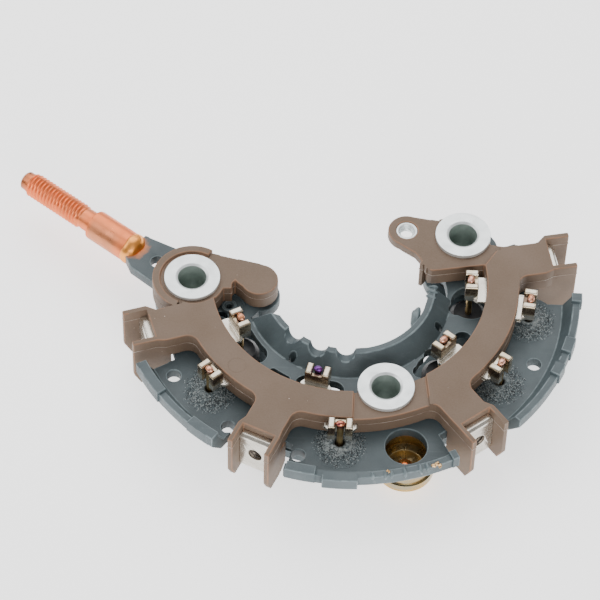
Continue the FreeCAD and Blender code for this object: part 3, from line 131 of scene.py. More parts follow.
# How far the weld has coloured each lead's tip, from copper at 0 to violet at 1
LEAD_HEAT = {"outer": (0.25, 0.62, 0.20, 0.25), "inner": (0.30, 1.00, 0.15, 0.10)}
# Share of white bloom on each outer diode's seal
SEAL_BLOOM = (0.25, 1.0, 0.35, 0.45)

# Curls beside the outer clips: distances from the shaft line, from the lead and below the board's top
CURL_DISTANCE = 40.1 * MM
CURL_ASIDE = 3.4 * MM
CURL_DROP = 2.7 * MM

# Soft lamps: name, place, size and power
LAMPS = (
    ("rear_softbox", (0.0, 0.54, 0.72), 1.10, 7.5),
    ("left_softbox", (-0.60, 0.05, 0.55), 0.60, 2.2),
    ("front_fill", (0.15, -0.80, 0.40), 0.60, 4.5),
)

# Segments round turned pieces, and along one turn of a thread
SCREW_STEPS = 36
STUD_STEPS = 40
LEAD_STEPS = 28
WELD_STEPS = 96
SEAL_STEPS = 150

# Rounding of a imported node: how near points count as one, the grid that it is cut along, the
# shortest edge kept, the turn that tells a fold from an edge, how far from a fold an edge stays
# sharp, in widths of the rounding, and the number of tries
SAME_POINT = 0.002 * MM
CELL = 4.1 * MM
CELL_SHIFT = 0.37
SHORTEST_EDGE = 0.1 * MM
FOLD_ANGLE = 115.0
FOLD_REACH = 1.6
ROUNDING_TRIES = 4

# Rounding of small turned pieces
CUP_EDGE = 0.15 * MM
EYELET_EDGE = 0.12 * MM
RIVET_EDGE = 0.12 * MM

# Studio floor, daylight and the photograph's view
FLOOR_HALF = 1.6
FLOOR_GAP = 0.05 * MM
DAYLIGHT = 0.40
SENSOR = 36.0
LENS = 185.7
EYE = Vector((-0.0114, -0.4384, 0.5892))
TARGET = Vector((-0.0114, -0.0069, 0.019))
ROLL = 1.647


def mount_place(name):
    """Point and direction of one of the record's mounts."""
    return Vector(MOUNTS[name]["pos_m"]), Vector(MOUNTS[name]["axis"]).normalized()


def mount_radius(name):
    """Radius of one of the record's round mounts."""
    return MOUNTS[name]["dims"]["r_mm"] * MM


def middle(node):
    """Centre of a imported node's box."""
    low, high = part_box(node)
    return (low + high) / 2


def half_width(node):
    """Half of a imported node's width along X, which is the radius of a turned piece."""
    low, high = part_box(node)
    return (high.x - low.x) / 2


def on_ground(point):
    """The point at height 0 straight above or below a point."""
    return Vector((point.x, point.y, 0.0))


def top_of(node):
    """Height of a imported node's top."""
    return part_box(node)[1].z


def ring_point(radius, azimuth, height):
    """A point at a distance from the shaft line, an azimuth in degrees and a height."""
    turn = math.radians(azimuth)
    return Vector((radius * math.cos(turn), radius * math.sin(turn), height))


SINK_TOP = top_of("insulator_left")
BOARD_TOP = top_of("terminal_board")
RIM_TOP = top_of("positive_heat_sink")


# Sizes and colours that a user would change


class RectifierSizes(bpy.types.PropertyGroup):
    """Fine sizes that the solids leave out."""

    board_edge: FloatProperty(
        name="Board edges", description="Rounding of the moulded board's edges",
        default=0.28 * MM, min=0.0, unit="LENGTH",
    )
    sink_edge: FloatProperty(
        name="Heat sink edges", description="Rounding of the coated sheet's edges",
        default=0.24 * MM, min=0.0, unit="LENGTH",
    )
    metal_edge: FloatProperty(
        name="Strap edges", description="Rounding of the stamped straps and nuts",
        default=0.12 * MM, min=0.0, unit="LENGTH",
    )
    flash_drop: FloatProperty(
        name="Parting line depth", description="Mould parting line below the board's top",
        default=2.8 * MM, unit="LENGTH",
    )
    flash_height: FloatProperty(
        name="Parting line width", description="Thickness of the flash left at the parting line",
        default=0.11 * MM, unit="LENGTH",
    )
    stud_pitch: FloatProperty(
        name="Stud pitch", description="Pitch of the rolled thread on the stud",
        default=1.0 * MM, unit="LENGTH",
    )
    screw_pitch: FloatProperty(
        name="Terminal pitch", description="Pitch of the tapped terminals",
        default=0.7 * MM, unit="LENGTH",
    )
    weld_width: FloatProperty(
        name="Stud weld", description="Width of the weld bead round the stud's foot",
        default=1.6 * MM, unit="LENGTH",
    )
    grain: FloatProperty(
        name="Seal grain", description="Height of the grains in the seal over the diodes",
        default=0.11 * MM, unit="LENGTH",
    )
    seal_reach: FloatProperty(
        name="Seal reach", description="Radius to which the seal runs out over the heat sink",
        default=6.6 * MM, unit="LENGTH",
    )
    seal_height: FloatProperty(
        name="Seal height", description="Height of the seal's mound above the heat sink",
        default=1.0 * MM, unit="LENGTH",
    )
    floor_glow: FloatProperty(
        name="Floor glow", description="Light that the pale floor gives by itself",
        default=1.4, min=0.0,
    )
    turns: IntProperty(
        name="Smoothness", description="Segments round a full turn",
        default=64, min=16, max=256,
    )


class RectifierColours(bpy.types.PropertyGroup):
    """Base colours of the finishes."""

    board: FloatVectorProperty(
        name="Board", description="Brown moulded board",
        default=(0.172, 0.115, 0.077), subtype="COLOR", min=0.0, max=1.0,
    )
    # Edge colour: partly wear, partly painted highlight
    board_edge: FloatVectorProperty(
        name="Board edges", description="Board where its edges catch and wear",
        default=(0.33, 0.18, 0.108), subtype="COLOR", min=0.0, max=1.0,
    )
    sink: FloatVectorProperty(
        name="Heat sinks", description="Grey coating of the heat sinks",
        default=(0.072, 0.096, 0.105), subtype="COLOR", min=0.0, max=1.0,
    )
    # Edge colour: partly thinner coating, partly painted highlight; the scratches and specks use it too
    sink_edge: FloatVectorProperty(
        name="Heat sink edges", description="Coating where it thins over an edge",
        default=(0.21, 0.26, 0.275), subtype="COLOR", min=0.0, max=1.0,
    )
    zinc: FloatVectorProperty(
        name="Zinc", description="Plated bushes and nuts",
        default=(0.88, 0.92, 0.92), subtype="COLOR", min=0.0, max=1.0,
    )
    copper: FloatVectorProperty(
        name="Stud", description="Copper of the output stud",
        default=(0.93, 0.235, 0.075), subtype="COLOR", min=0.0, max=1.0,
    )
    tin: FloatVectorProperty(
        name="Tin", description="Tinned phase straps",
        default=(0.74, 0.70, 0.62), subtype="COLOR", min=0.0, max=1.0,
    )
    wire: FloatVectorProperty(
        name="Leads", description="Tarnished diode leads",
        default=(0.60, 0.43, 0.20), subtype="COLOR", min=0.0, max=1.0,
    )
    brass: FloatVectorProperty(
        name="Cup", description="Brass of the cup",
        default=(0.82, 0.47, 0.075), subtype="COLOR", min=0.0, max=1.0,
    )
    insulator: FloatVectorProperty(
        name="Insulators", description="Sleeves between the heat sinks",
        default=(0.035, 0.035, 0.036), subtype="COLOR", min=0.0, max=1.0,
    )
    floor: FloatVectorProperty(
        name="Floor", description="Studio floor",
        default=(0.93, 0.93, 0.93), subtype="COLOR", min=0.0, max=1.0,
    )


def sizes():
    """The sizes that are set now."""
    return bpy.context.scene.rectifier_sizes


def colours():
    """The colours that are set now."""
    return bpy.context.scene.rectifier_colours


# Node materials


class Finish:
    """A new material with its main shader, and short ways to add nodes to it."""

    def __init__(self, name, colour, metallic, roughness):
        self.material = bpy.data.materials.new(name)
        self.material.use_nodes = True
        self.tree = self.material.node_tree
        self.shader = self.tree.nodes["Principled BSDF"]
        self.shader.inputs["Base Color"].default_value = (*colour, 1.0)
        self.shader.inputs["Metallic"].default_value = metallic
        self.shader.inputs["Roughness"].default_value = roughness
        self.place = self.add("ShaderNodeTexCoord").outputs["Object"]

    def add(self, kind, **settings):
        """A new node with its settings."""
        node = self.tree.nodes.new(kind)
        for key, value in settings.items():
            setattr(node, key, value)
        return node

    def link(self, source, target):
        """Joins two sockets."""
        self.tree.links.new(source, target)

    def noise(self, scale, detail=3.0, roughness=0.5, place=None):
        """Noise whose features are about 1/scale metres wide."""
        node = self.add("ShaderNodeTexNoise")
        node.inputs["Scale"].default_value = scale
        node.inputs["Detail"].default_value = detail
        node.inputs["Roughness"].default_value = roughness
        self.link(place or self.place, node.inputs["Vector"])
        return node.outputs["Fac"]

    def grains(self, scale, place=None):
        """One random value for each cell, 1/scale metres across."""
        node = self.add("ShaderNodeTexVoronoi", feature="F1")
        node.inputs["Scale"].default_value = scale
        self.link(place or self.place, node.inputs["Vector"])
        return node

    def spread(self, value, low, high, to_low=0.0, to_high=1.0):
        """Maps low..high to to_low..to_high, clamped."""
        node = self.add("ShaderNodeMapRange")
        limits = {"From Min": low, "From Max": high, "To Min": to_low, "To Max": to_high}
        for socket, number in limits.items():
            node.inputs[socket].default_value = number
        self.link(value, node.inputs["Value"])
        return node.outputs["Result"]

    def clouds(self, scale, low=0.0, high=1.0, detail=3.0, roughness=0.5):
        """Soft patches about 1/scale metres wide, with values from low to high."""
        return self.spread(self.noise(scale, detail, roughness), 0.3, 0.7, low, high)

    def blend(self, factor, first, second):
        """Colour from first to second by factor."""
        node = self.add("ShaderNodeMix", data_type="RGBA")
        factor_socket, first_socket, second_socket = (node.inputs[index] for index in (0, 6, 7))
        for value, socket in ((factor, factor_socket), (first, first_socket), (second, second_socket)):
            if isinstance(value, bpy.types.NodeSocket):
                self.link(value, socket)
            elif isinstance(value, float):
                socket.default_value = value
            else:
                socket.default_value = (*value, 1.0)
        return node.outputs[2]

    def maths(self, operation, first, second):
        """One calculation with sockets or numbers."""
        node = self.add("ShaderNodeMath", operation=operation)
        for value, socket in ((first, node.inputs[0]), (second, node.inputs[1])):
            if isinstance(value, bpy.types.NodeSocket):
                self.link(value, socket)
            else:
                socket.default_value = value
        return node.outputs[0]

    def times(self, first, second):
        """The product of two sockets or numbers."""
        return self.maths("MULTIPLY", first, second)

    def plus(self, first, second):
        """The sum of two sockets or numbers."""
        return self.maths("ADD", first, second)

    def ramp(self, value, stops):
        """Colour by value, from stops of (position, colour) that begin at 0 and end at 1."""
        node = self.add("ShaderNodeValToRGB")
        elements = node.color_ramp.elements
        elements[0].color = (*stops[0][1], 1.0)
        elements[1].color = (*stops[-1][1], 1.0)
        for position, colour in stops[1:-1]:
            elements.new(position).color = (*colour, 1.0)
        self.link(value, node.inputs["Fac"])
        return node.outputs["Color"]

    def attribute(self, name):
        """A value that the mesh carries."""
        return self.add("ShaderNodeAttribute", attribute_name=name).outputs["Fac"]

    def height(self):
        """Object height in metres."""
        split = self.add("ShaderNodeSeparateXYZ")
        self.link(self.place, split.inputs[0])
        return split.outputs["Z"]

    def along(self, start, direction):
        """Distance from a point in one direction."""
        place = self.add("ShaderNodeVectorMath", operation="SUBTRACT")
        self.link(self.place, place.inputs[0])
        place.inputs[1].default_value = start
        share = self.add("ShaderNodeVectorMath", operation="DOT_PRODUCT")
        self.link(place.outputs["Vector"], share.inputs[0])
        share.inputs[1].default_value = direction
        return share.outputs["Value"]

    def painted(self):
        """The colour that the shader has so far."""
        return self.shader.inputs["Base Color"].links[0].from_socket

    def colour(self, value):
        """Gives the shader its colour."""
        self.link(value, self.shader.inputs["Base Color"])

    def roughness(self, value):
        """Gives the shader its roughness."""
        self.link(value, self.shader.inputs["Roughness"])

    def bump(self, value, depth, strength=1.0):
        """Relief of the given depth in metres."""
        node = self.add("ShaderNodeBump")
        node.inputs["Distance"].default_value = depth
        node.inputs["Strength"].default_value = strength
        self.link(value, node.inputs["Height"])
        last = self.shader.inputs["Normal"]
        if last.is_linked:
            self.link(last.links[0].from_socket, node.inputs["Normal"])
        self.link(node.outputs["Normal"], last)


def mixed(first, second, share):
    """Plain mix of two colours."""
    return tuple(a + (b - a) * share for a, b in zip(first, second))


def board_material():
    """Brown moulding with fine fibres, rare pale flecks, and lighter edges that are partly wear and
    partly painted highlight.
    """
    brown = colours().board
    pale = (0.40, 0.31, 0.25)
    fibre = (0.46, 0.36, 0.30)
    fleck = (0.60, 0.50, 0.42)
    mat = Finish("moulded_board", brown, 0.0, 0.5)
    mat.shader.inputs["Specular IOR Level"].default_value = 0.32
    clouds = mat.spread(mat.noise(55.0, 4.0, 0.55), 0.35, 0.68)
    fibres = mat.spread(mat.noise(2600.0, 2.0, 0.6), 0.3, 0.75)
    body = mat.blend(clouds, mixed(brown, BLACK, 0.06), mixed(brown, pale, 0.07))
    body = mat.blend(mat.times(fibres, 0.18), body, mixed(brown, fibre, 0.4))
    specks = mat.spread(mat.grains(420.0).outputs["Distance"], 0.035, 0.06, 1.0, 0.0)
    rare = mat.spread(mat.noise(140.0, 1.0), 0.60, 0.64)
    body = mat.blend(mat.times(specks, rare), body, fleck)
    # Lighter rounded edges: partly wear, partly painted highlight where they catch the light
    worn_and_lit = mat.times(mat.attribute("edge_wear_and_highlight"), mat.spread(mat.noise(300.0), 0.25, 0.6, 0.30, 0.75))
    mat.colour(mat.blend(worn_and_lit, body, tuple(colours().board_edge)))
    mat.roughness(mat.clouds(130.0, 0.44, 0.60, detail=4.0))
    mat.bump(mat.noise(2100.0, 2.0, 0.6), 0.02 * MM, 0.5)
    mat.bump(mat.noise(60.0, 2.0), 0.20 * MM, 0.25)
    return mat.material


def sink_finish(name="coated_sink"):
    """Grey coating with faint scratches and specks, lighter over the edges: partly thinner coating,
    partly painted highlight.
    """
    grey = colours().sink
    thin_coat_and_highlight = tuple(colours().sink_edge)
    mat = Finish(name, grey, 0.0, 0.4)
    mat.shader.inputs["Specular IOR Level"].default_value = 0.36
    clouds = mat.clouds(70.0, detail=5.0, roughness=0.6)
    body = mat.blend(clouds, mixed(grey, BLACK, 0.14), mixed(grey, thin_coat_and_highlight, 0.25))
    scratch = mat.add("ShaderNodeMapping")
    scratch.inputs["Scale"].default_value = (60.0, 900.0, 200.0)
    scratch.inputs["Rotation"].default_value = (0.0, 0.0, 0.6)
    mat.link(mat.place, scratch.inputs["Vector"])
    lines = mat.spread(mat.noise(1.0, 3.0, 0.7, scratch.outputs[0]), 0.60, 0.72)
    body = mat.blend(mat.times(lines, 0.14), body, thin_coat_and_highlight)
    specks = mat.spread(mat.noise(3000.0, 2.0, 0.7), 0.58, 0.78)
    body = mat.blend(mat.times(specks, 0.22), body, thin_coat_and_highlight)
    # Lighter rounded edges, runs and torn bits: partly thin coating and wear, partly painted highlight
    worn_and_lit = mat.times(mat.attribute("edge_wear_and_highlight"), mat.spread(mat.noise(500.0, 4.0), 0.3, 0.62, 0.25, 1.0))
    mat.colour(mat.blend(worn_and_lit, body, thin_coat_and_highlight))
    mat.roughness(mat.clouds(160.0, 0.36, 0.55, detail=5.0, roughness=0.6))
    mat.bump(mat.noise(1500.0, 3.0, 0.6), 0.03 * MM, 0.5)
    mat.bump(mat.noise(90.0, 2.0), 0.30 * MM, 0.3)
    return mat


def sink_material():
    """Grey coating, with copper blown over it round the foot of the stud."""
    blown_copper = (0.62, 0.22, 0.08)
    mat = sink_finish()
    gap = mat.add("ShaderNodeVectorMath", operation="DISTANCE")
    mat.link(mat.place, gap.inputs[0])
    gap.inputs[1].default_value = stud_foot()[0]
    reach = mat.plus(gap.outputs["Value"], mat.clouds(900.0, -0.4 * MM, 0.4 * MM))
    tint = mat.spread(reach, 2.6 * MM, 4.2 * MM, 1.0, 0.0)
    mat.colour(mat.blend(tint, mat.painted(), blown_copper))
    mat.link(mat.times(tint, 0.8), mat.shader.inputs["Metallic"])
    return mat.material


def metal_finish(name, colour, roughness, streak=0.35, pit=0.25):
    """Plated or drawn metal with cloudy gloss and fine pits."""
    soot = (0.05, 0.04, 0.03)
    pitted = (0.10, 0.09, 0.08)
    mat = Finish(name, colour, 1.0, roughness)
    clouds = mat.clouds(260.0, detail=4.0, roughness=0.6)
    body = mat.blend(clouds, mixed(colour, soot, streak), tuple(colour))
    pits = mat.spread(mat.grains(1900.0).outputs["Distance"], 0.10, 0.2, 1.0, 0.0)
    rare = mat.spread(mat.noise(700.0, 2.0), 0.55, 0.62)
    mat.colour(mat.blend(mat.times(mat.times(pits, rare), pit), body, pitted))
    mat.roughness(mat.clouds(420.0, roughness * 0.7, roughness * 1.35, detail=4.0))
    mat.bump(mat.noise(1300.0, 3.0, 0.6), 0.015 * MM, 0.6)
    return mat


def zinc_material():
    """Pale plating on the bushes, nuts and insert."""
    mat = metal_finish("zinc_plate", tuple(colours().zinc), 0.38, 0.08, 0.30)
    mat.shader.inputs["Metallic"].default_value = 0.7
    return mat.material


def bore_shade_material():
    """Dull green-grey inside of the bushes, much darker than the plating: painted shade down the bores.
    """
    deep_shade = (0.24, 0.30, 0.27)
    pale = (0.36, 0.43, 0.39)
    mat = Finish("bush_bore_shade", deep_shade, 0.4, 0.5)
    mat.colour(mat.blend(mat.clouds(400.0, detail=4.0), deep_shade, pale))
    mat.roughness(mat.clouds(600.0, 0.4, 0.62))
    mat.bump(mat.noise(1500.0), 0.02 * MM, 0.6)
    return mat.material


def copper_material():
    """Copper with a dull burnished flat on one side and a burnt tip."""
    dulled = (0.50, 0.22, 0.11)
    scorched = (0.22, 0.10, 0.05)
    burnished = (0.46, 0.25, 0.14)
    mat = metal_finish("copper_stud", tuple(colours().copper), 0.36, 0.14, 0.25)
    mat.shader.inputs["Metallic"].default_value = 0.75
    dull = mat.spread(mat.noise(150.0, 4.0, 0.6), 0.52, 0.70)
    body = mat.blend(mat.times(dull, 0.5), mat.painted(), dulled)
    foot, axis = stud_foot()
    along = mat.along(foot, axis)
    burnt = mat.spread(along, STUD_LENGTH - 2.6 * MM, STUD_LENGTH - 0.6 * MM)
    body = mat.blend(mat.times(burnt, 0.75), body, scorched)
    near = mat.spread(along, 2.0 * MM, 5.0 * MM)
    far = mat.spread(along, STUD_SHOULDER - 1.5 * MM, STUD_SHOULDER - 0.3 * MM, 1.0, 0.0)
    front = mat.spread(mat.along(foot, Vector((-axis.y, axis.x, 0.0))), 0.0, 2.6 * MM)
    flat = mat.times(mat.times(near, far), front)
    mat.colour(mat.blend(mat.times(flat, 0.55), body, burnished))
    return mat.material


def weld_material():
    """Golden brazing metal."""
    golden = (1.0, 0.40, 0.09)
    return metal_finish("stud_weld", golden, 0.36, 0.12, 0.12).material


def tin_material():
    """Tin, turned straw and brown where the clips were welded, fainter up on the prongs."""
    tin = tuple(colours().tin)
    straw = (0.55, 0.46, 0.33)
    brown = (0.32, 0.25, 0.17)
    soot = (0.16, 0.11, 0.08)
    mat = metal_finish("tinned_strap", tin, 0.24, 0.30, 0.25)
    mat.shader.inputs["Metallic"].default_value = 0.92
    low = mat.spread(mat.height(), BOARD_TOP - 1.7 * MM, BOARD_TOP - 0.7 * MM)
    high = mat.spread(mat.height(), BOARD_TOP + 1.1 * MM, BOARD_TOP + 1.9 * MM, 1.0, 0.25)
    cloud = mat.spread(mat.noise(330.0, 4.0, 0.65), 0.30, 0.56)
    patch = mat.times(mat.times(low, high), cloud)
    tints = mat.ramp(patch, ((0.0, tin), (0.40, straw), (0.75, brown), (1.0, soot)))
    mat.colour(mat.blend(mat.spread(patch, 0.0, 0.2), mat.painted(), tints))
    return mat.material


def lead_material():
    """Brass-brown wire with a copper, rust or violet welded tip."""
    copper = (0.85, 0.48, 0.38)
    rust = (0.62, 0.25, 0.11)
    crimson = (0.30, 0.06, 0.09)
    violet = (0.16, 0.06, 0.26)
    mat = metal_finish("diode_lead", tuple(colours().wire), 0.33, 0.30, 0.3)
    tip = mat.spread(mat.height(), BOARD_TOP - 0.4 * MM, BOARD_TOP + 0.9 * MM)
    fine = mat.clouds(900.0, -0.22, 0.22)
    shift = mat.plus(mat.attribute("tempering"), fine)
    tints = mat.ramp(shift, ((0.0, copper), (0.45, rust), (0.72, crimson), (1.0, violet)))
    mat.colour(mat.blend(tip, mat.painted(), tints))
    return mat.material


def brass_material():
    """Brass, darker and greyer in uneven patches above the cup's floor level."""
    greyer_brass = (0.36, 0.31, 0.21)
    mat = metal_finish("brass_cup", tuple(colours().brass), 0.27, 0.35, 0.5)
    inside = mat.spread(mat.height(), SINK_TOP - 8.6 * MM, SINK_TOP - 7.6 * MM)
    greying = mat.spread(mat.noise(240.0, 4.0, 0.6), 0.35, 0.65, 0.6, 1.0)
    mat.colour(mat.blend(mat.times(inside, greying), mat.painted(), greyer_brass))
    return mat.material


def insulator_material():
    """Dark plastic of the sleeves."""
    dark = tuple(colours().insulator)
    pale = (0.06, 0.06, 0.062)
    mat = Finish("insulator_sleeve", dark, 0.0, 0.55)
    mat.colour(mat.blend(mat.clouds(300.0), dark, pale))
    mat.roughness(mat.clouds(500.0, 0.48, 0.62))
    mat.bump(mat.noise(1400.0), 0.02 * MM, 0.6)
    return mat.material


def resin_material():
    """Black resin on the inner diodes."""
    dark = (0.012, 0.012, 0.013)
    pale = (0.036, 0.037, 0.040)
    mat = Finish("diode_resin", dark, 0.0, 0.35)
    mat.colour(mat.blend(mat.spread(mat.noise(350.0), 0.35, 0.65), dark, pale))
    mat.roughness(mat.clouds(500.0, 0.28, 0.5))
    mat.bump(mat.noise(500.0, 3.0), 0.12 * MM, 0.6)
    return mat.material


def seal_material():
    """Grey seal over a diode: pale and dark grains that thin out with the attribute "reach"."""
    black_grain = (0.014, 0.016, 0.018)
    pale_grain = (0.38, 0.42, 0.42)
    white_bloom = (0.55, 0.60, 0.60)
    shadow = (0.015, 0.014, 0.012)
    mat = sink_finish("diode_seal")
    reach = mat.attribute("reach")
    fine = mat.grains(4800.0)
    pick = mat.add("ShaderNodeSeparateColor")
    mat.link(fine.outputs["Color"], pick.inputs[0])
    outer = mat.spread(reach, 0.62, 1.0, 1.0, 0.0)
    inner = mat.spread(reach, 0.20, 0.42, 0.35, 1.0)
    grainy = mat.times(outer, inner)
    grainy = mat.plus(grainy, mat.clouds(420.0, -0.22, 0.2, roughness=0.6))
    pale = mat.maths("LESS_THAN", pick.outputs[0], mat.times(grainy, 0.30))
    dark = mat.maths("LESS_THAN", pick.outputs[1], mat.times(grainy, 0.46))
    body = mat.blend(mat.times(dark, 0.8), mat.painted(), black_grain)
    body = mat.blend(mat.times(pale, 0.7), body, pale_grain)
    frost = mat.times(mat.spread(reach, 0.16, 0.26), mat.spread(reach, 0.28, 0.62, 1.0, 0.0))
    frost = mat.times(frost, mat.spread(mat.noise(900.0, 4.0, 0.7), 0.42, 0.62))
    body = mat.blend(mat.times(frost, mat.attribute("bloom")), body, white_bloom)
    well = mat.spread(reach, 0.15, 0.24, 1.0, 0.0)
    mat.colour(mat.blend(well, body, shadow))
    mat.bump(mat.times(grainy, fine.outputs["Distance"]), 0.22 * MM, 0.7)
    return mat.material


def flash_material():
    """Thin pale flash along the mould's parting line."""
    brown = (0.24, 0.17, 0.13)
    pale = (0.58, 0.49, 0.42)
    mat = Finish("parting_flash", brown, 0.0, 0.45)
    mat.colour(mat.blend(mat.spread(mat.noise(350.0), 0.35, 0.65), brown, pale))
    mat.roughness(mat.clouds(700.0, 0.4, 0.55))
    mat.bump(mat.noise(2000.0), 0.01 * MM, 0.5)
    return mat.material


def floor_material():
    """Pale matt floor that glows a little by itself."""
    pale = tuple(colours().floor)
    mat = Finish("studio_floor", pale, 0.0, 0.7)
    mat.shader.inputs["Specular IOR Level"].default_value = 0.2
    mat.shader.inputs["Emission Color"].default_value = (*WHITE, 1.0)
    mat.shader.inputs["Emission Strength"].default_value = sizes().floor_glow
    mat.colour(mat.blend(mat.clouds(6.0), mixed(pale, WHITE, 0.03), pale))
    return mat.material


# Mesh work


def mesh_of(bm, name):
    """Turns a bmesh into a mesh and frees it."""
    mesh = bpy.data.meshes.new(name)
    bm.to_mesh(mesh)
    bm.free()
    return mesh


def show(name, data):
    """A new object of the scene."""
    item = bpy.data.objects.new(name, data)
    bpy.context.scene.collection.objects.link(item)
    return item


def finish_piece(bm, name, materials, replaced=(), smooth=35.0):
    """Makes a piece that rides on the part, shaded smooth where it turns by less than smooth."""
    for edge in bm.edges:
        edge.smooth = len(edge.link_faces) == 2 and turn_of(edge) < smooth
    for face in bm.faces:
        face.smooth = True
    piece = show(name, mesh_of(bm, name))
    for material in materials:
        piece.data.materials.append(material)
    normals = piece.modifiers.new("flat_faces", "WEIGHTED_NORMAL")
    normals.keep_sharp = True
    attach(piece, "root")
    if replaced:
        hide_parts(*replaced)
    return piece


def solid_copy(node):
    """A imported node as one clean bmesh: doubles merged and flat faces joined."""
    bm = bmesh.new()
    bm.from_mesh(frame["nodes"][node].data)
    bmesh.ops.remove_doubles(bm, verts=bm.verts, dist=SAME_POINT)
    bmesh.ops.dissolve_degenerate(bm, edges=bm.edges, dist=0.001 * MM)
    bmesh.ops.dissolve_limit(
        bm,
        angle_limit=math.radians(1.0),
        use_dissolve_boundaries=False,
        verts=bm.verts,
        edges=bm.edges,
    )
    return bm


def round_edges(bm, edges, width, segments=2):
    """Rounds edges and marks the new faces for a lighter colour that is partly wear and partly painted
    highlight.
    """
    worn_and_lit = bm.faces.layers.float.get("edge_wear_and_highlight") or bm.faces.layers.float.new("edge_wear_and_highlight")
    made = bmesh.ops.bevel(
        bm,
        geom=edges,
        offset=width,
        offset_type="OFFSET",
        affect="EDGES",
        segments=segments,
        profile=0.5,
        material=-1,
        clamp_overlap=False,
    )
    for face in made["faces"]:
        face[worn_and_lit] = 1.0


def turn_of(edge):
    """Angle between the two faces at an edge, in degrees, and 0 at a free edge."""
    return math.degrees(edge.calc_face_angle(0.0)) if len(edge.link_faces) == 2 else 0.0


def lowest(edge):
    """Height of an edge's lower end."""
    return min(vert.co.z for vert in edge.verts)


def sharp_edges(bm, limit=32.0):
    """Edges that turn by more than limit degrees."""
    return [edge for edge in bm.edges if turn_of(edge) > limit]


def fill_flat(bm):
    """Cuts faces with many corners into triangles."""
    many = [face for face in bm.faces if len(face.verts) > 4]
    bmesh.ops.triangulate(bm, faces=many, quad_method="BEAUTY", ngon_method="EAR_CLIP")


def cut(bm, point, normal, near, drop_outer=False):
    """Cuts a bmesh along a plane, and drops what lies beyond the plane when asked to."""
    bmesh.ops.bisect_plane(
        bm,
        geom=bm.verts[:] + bm.edges[:] + bm.faces[:],
        dist=near,
        plane_co=point,
        plane_no=normal,
        clear_outer=drop_outer,
    )


def cut_cells(bm, size):
    """Cuts the piece along a square grid, so that no face is long, and drops the shortest edges."""
    for axis in (Vector((1.0, 0.0, 0.0)), Vector((0.0, 1.0, 0.0))):
        reach = [vert.co.dot(axis) for vert in bm.verts]
        level = min(reach) + size * CELL_SHIFT
        while level < max(reach):
            cut(bm, axis * level, axis, SAME_POINT)
            level += size
    bmesh.ops.remove_doubles(bm, verts=bm.verts, dist=SHORTEST_EDGE)


def folds(bm):
    """Centres of the faces that a bevel has folded over their neighbours."""
    turned = sharp_edges(bm, FOLD_ANGLE)
    small = {min(edge.link_faces, key=lambda face: face.calc_area()) for edge in turned}
    return [face.calc_center_median() for face in small]


def far_from(spots, edges, reach):
    """The edges whose ends and middle all lie further than reach from every spot."""
    if not spots:
        return edges
    tree = kdtree.KDTree(len(spots))
    for index, spot in enumerate(spots):
        tree.insert(spot, index)
    tree.balance()
    kept = []
    for edge in edges:
        first, second = (vert.co for vert in edge.verts)
        if min(tree.find(place)[2] for place in (first, second, (first + second) / 2)) > reach:
            kept.append(edge)
    return kept


def rounded_node(node, name, material, width):
    """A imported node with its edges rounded, left sharp where there is no room to round them."""
    crowded = []
    for attempt in range(ROUNDING_TRIES):
        bm = solid_copy(node)
        cut_cells(bm, CELL)
        round_edges(bm, far_from(crowded, sharp_edges(bm), width * FOLD_REACH), width)
        fill_flat(bm)
        found = folds(bm)
        if attempt == ROUNDING_TRIES - 1 or not found:
            return finish_piece(bm, name, [material], [node])
        crowded += found
        bm.free()


def spin(bm, geom, place, axis, turn, steps, rise=0.0, merge=False):
    """Sweeps edges or faces round the axis through place by turn radians, up by rise at each step."""
    return bmesh.ops.spin(
        bm,
        geom=geom,
        cent=place,
        axis=axis,
        dvec=axis * rise,
        angle=turn,
        steps=steps,
        use_merge=merge,
        use_duplicate=False,
    )


def lathe(points, place, steps, axis=UP, closed=True):
    """Spins a profile of (radius, distance along) points round the axis through place."""
    bm = bmesh.new()
    across = axis.orthogonal().normalized()
    verts = [bm.verts.new(place + across * radius + axis * along) for radius, along in points]
    edges = [bm.edges.new(pair) for pair in zip(verts, verts[1:])]
    if closed:
        edges.append(bm.edges.new((verts[-1], verts[0])))
    spin(bm, verts + edges, place, axis, math.tau, steps, merge=True)
    bmesh.ops.remove_doubles(bm, verts=bm.verts, dist=0.0005 * MM)
    bmesh.ops.recalc_face_normals(bm, faces=bm.faces)
    return bm


def thread_ridge(place, axis, core, crest, pitch, length, steps):
    """A helical ridge from radius core to radius crest that fades at its ends."""
    bm = bmesh.new()
    across = axis.orthogonal().normalized()
    depth = crest - core
    root = core - depth * 0.25
    flank = core + depth * 0.7
    root_half = pitch * 0.46
    flank_half = pitch * 0.18
    profile = [
        (root, -root_half),
        (flank, -flank_half),
        (crest, 0.0),
        (flank, flank_half),
        (root, root_half),
    ]
    verts = [bm.verts.new(place + across * radius + axis * along) for radius, along in profile]
    edges = [bm.edges.new(pair) for pair in zip(verts, verts[1:] + verts[:1])]
    turns = length / pitch
    fade = pitch * 0.75
    spin(bm, verts + edges, place, axis, math.tau * turns, round(steps * turns), rise=pitch / steps)
    bmesh.ops.holes_fill(bm, edges=[edge for edge in bm.edges if edge.is_boundary], sides=0)
    for vert in bm.verts:
        out = vert.co - place
        along = out.dot(axis)
        radial = out - axis * along
        share = max(0.0, min(1.0, along / fade, (length - along) / fade))
        radius = root + (radial.length - root) * share
        vert.co = place + axis * along + radial.normalized() * radius
    bmesh.ops.recalc_face_normals(bm, faces=bm.faces)
    return bm


def join(first, second):
    """Adds the second bmesh to the first."""
    mesh = mesh_of(second, "joined")
    first.from_mesh(mesh)
    bpy.data.meshes.remove(mesh)
    return first


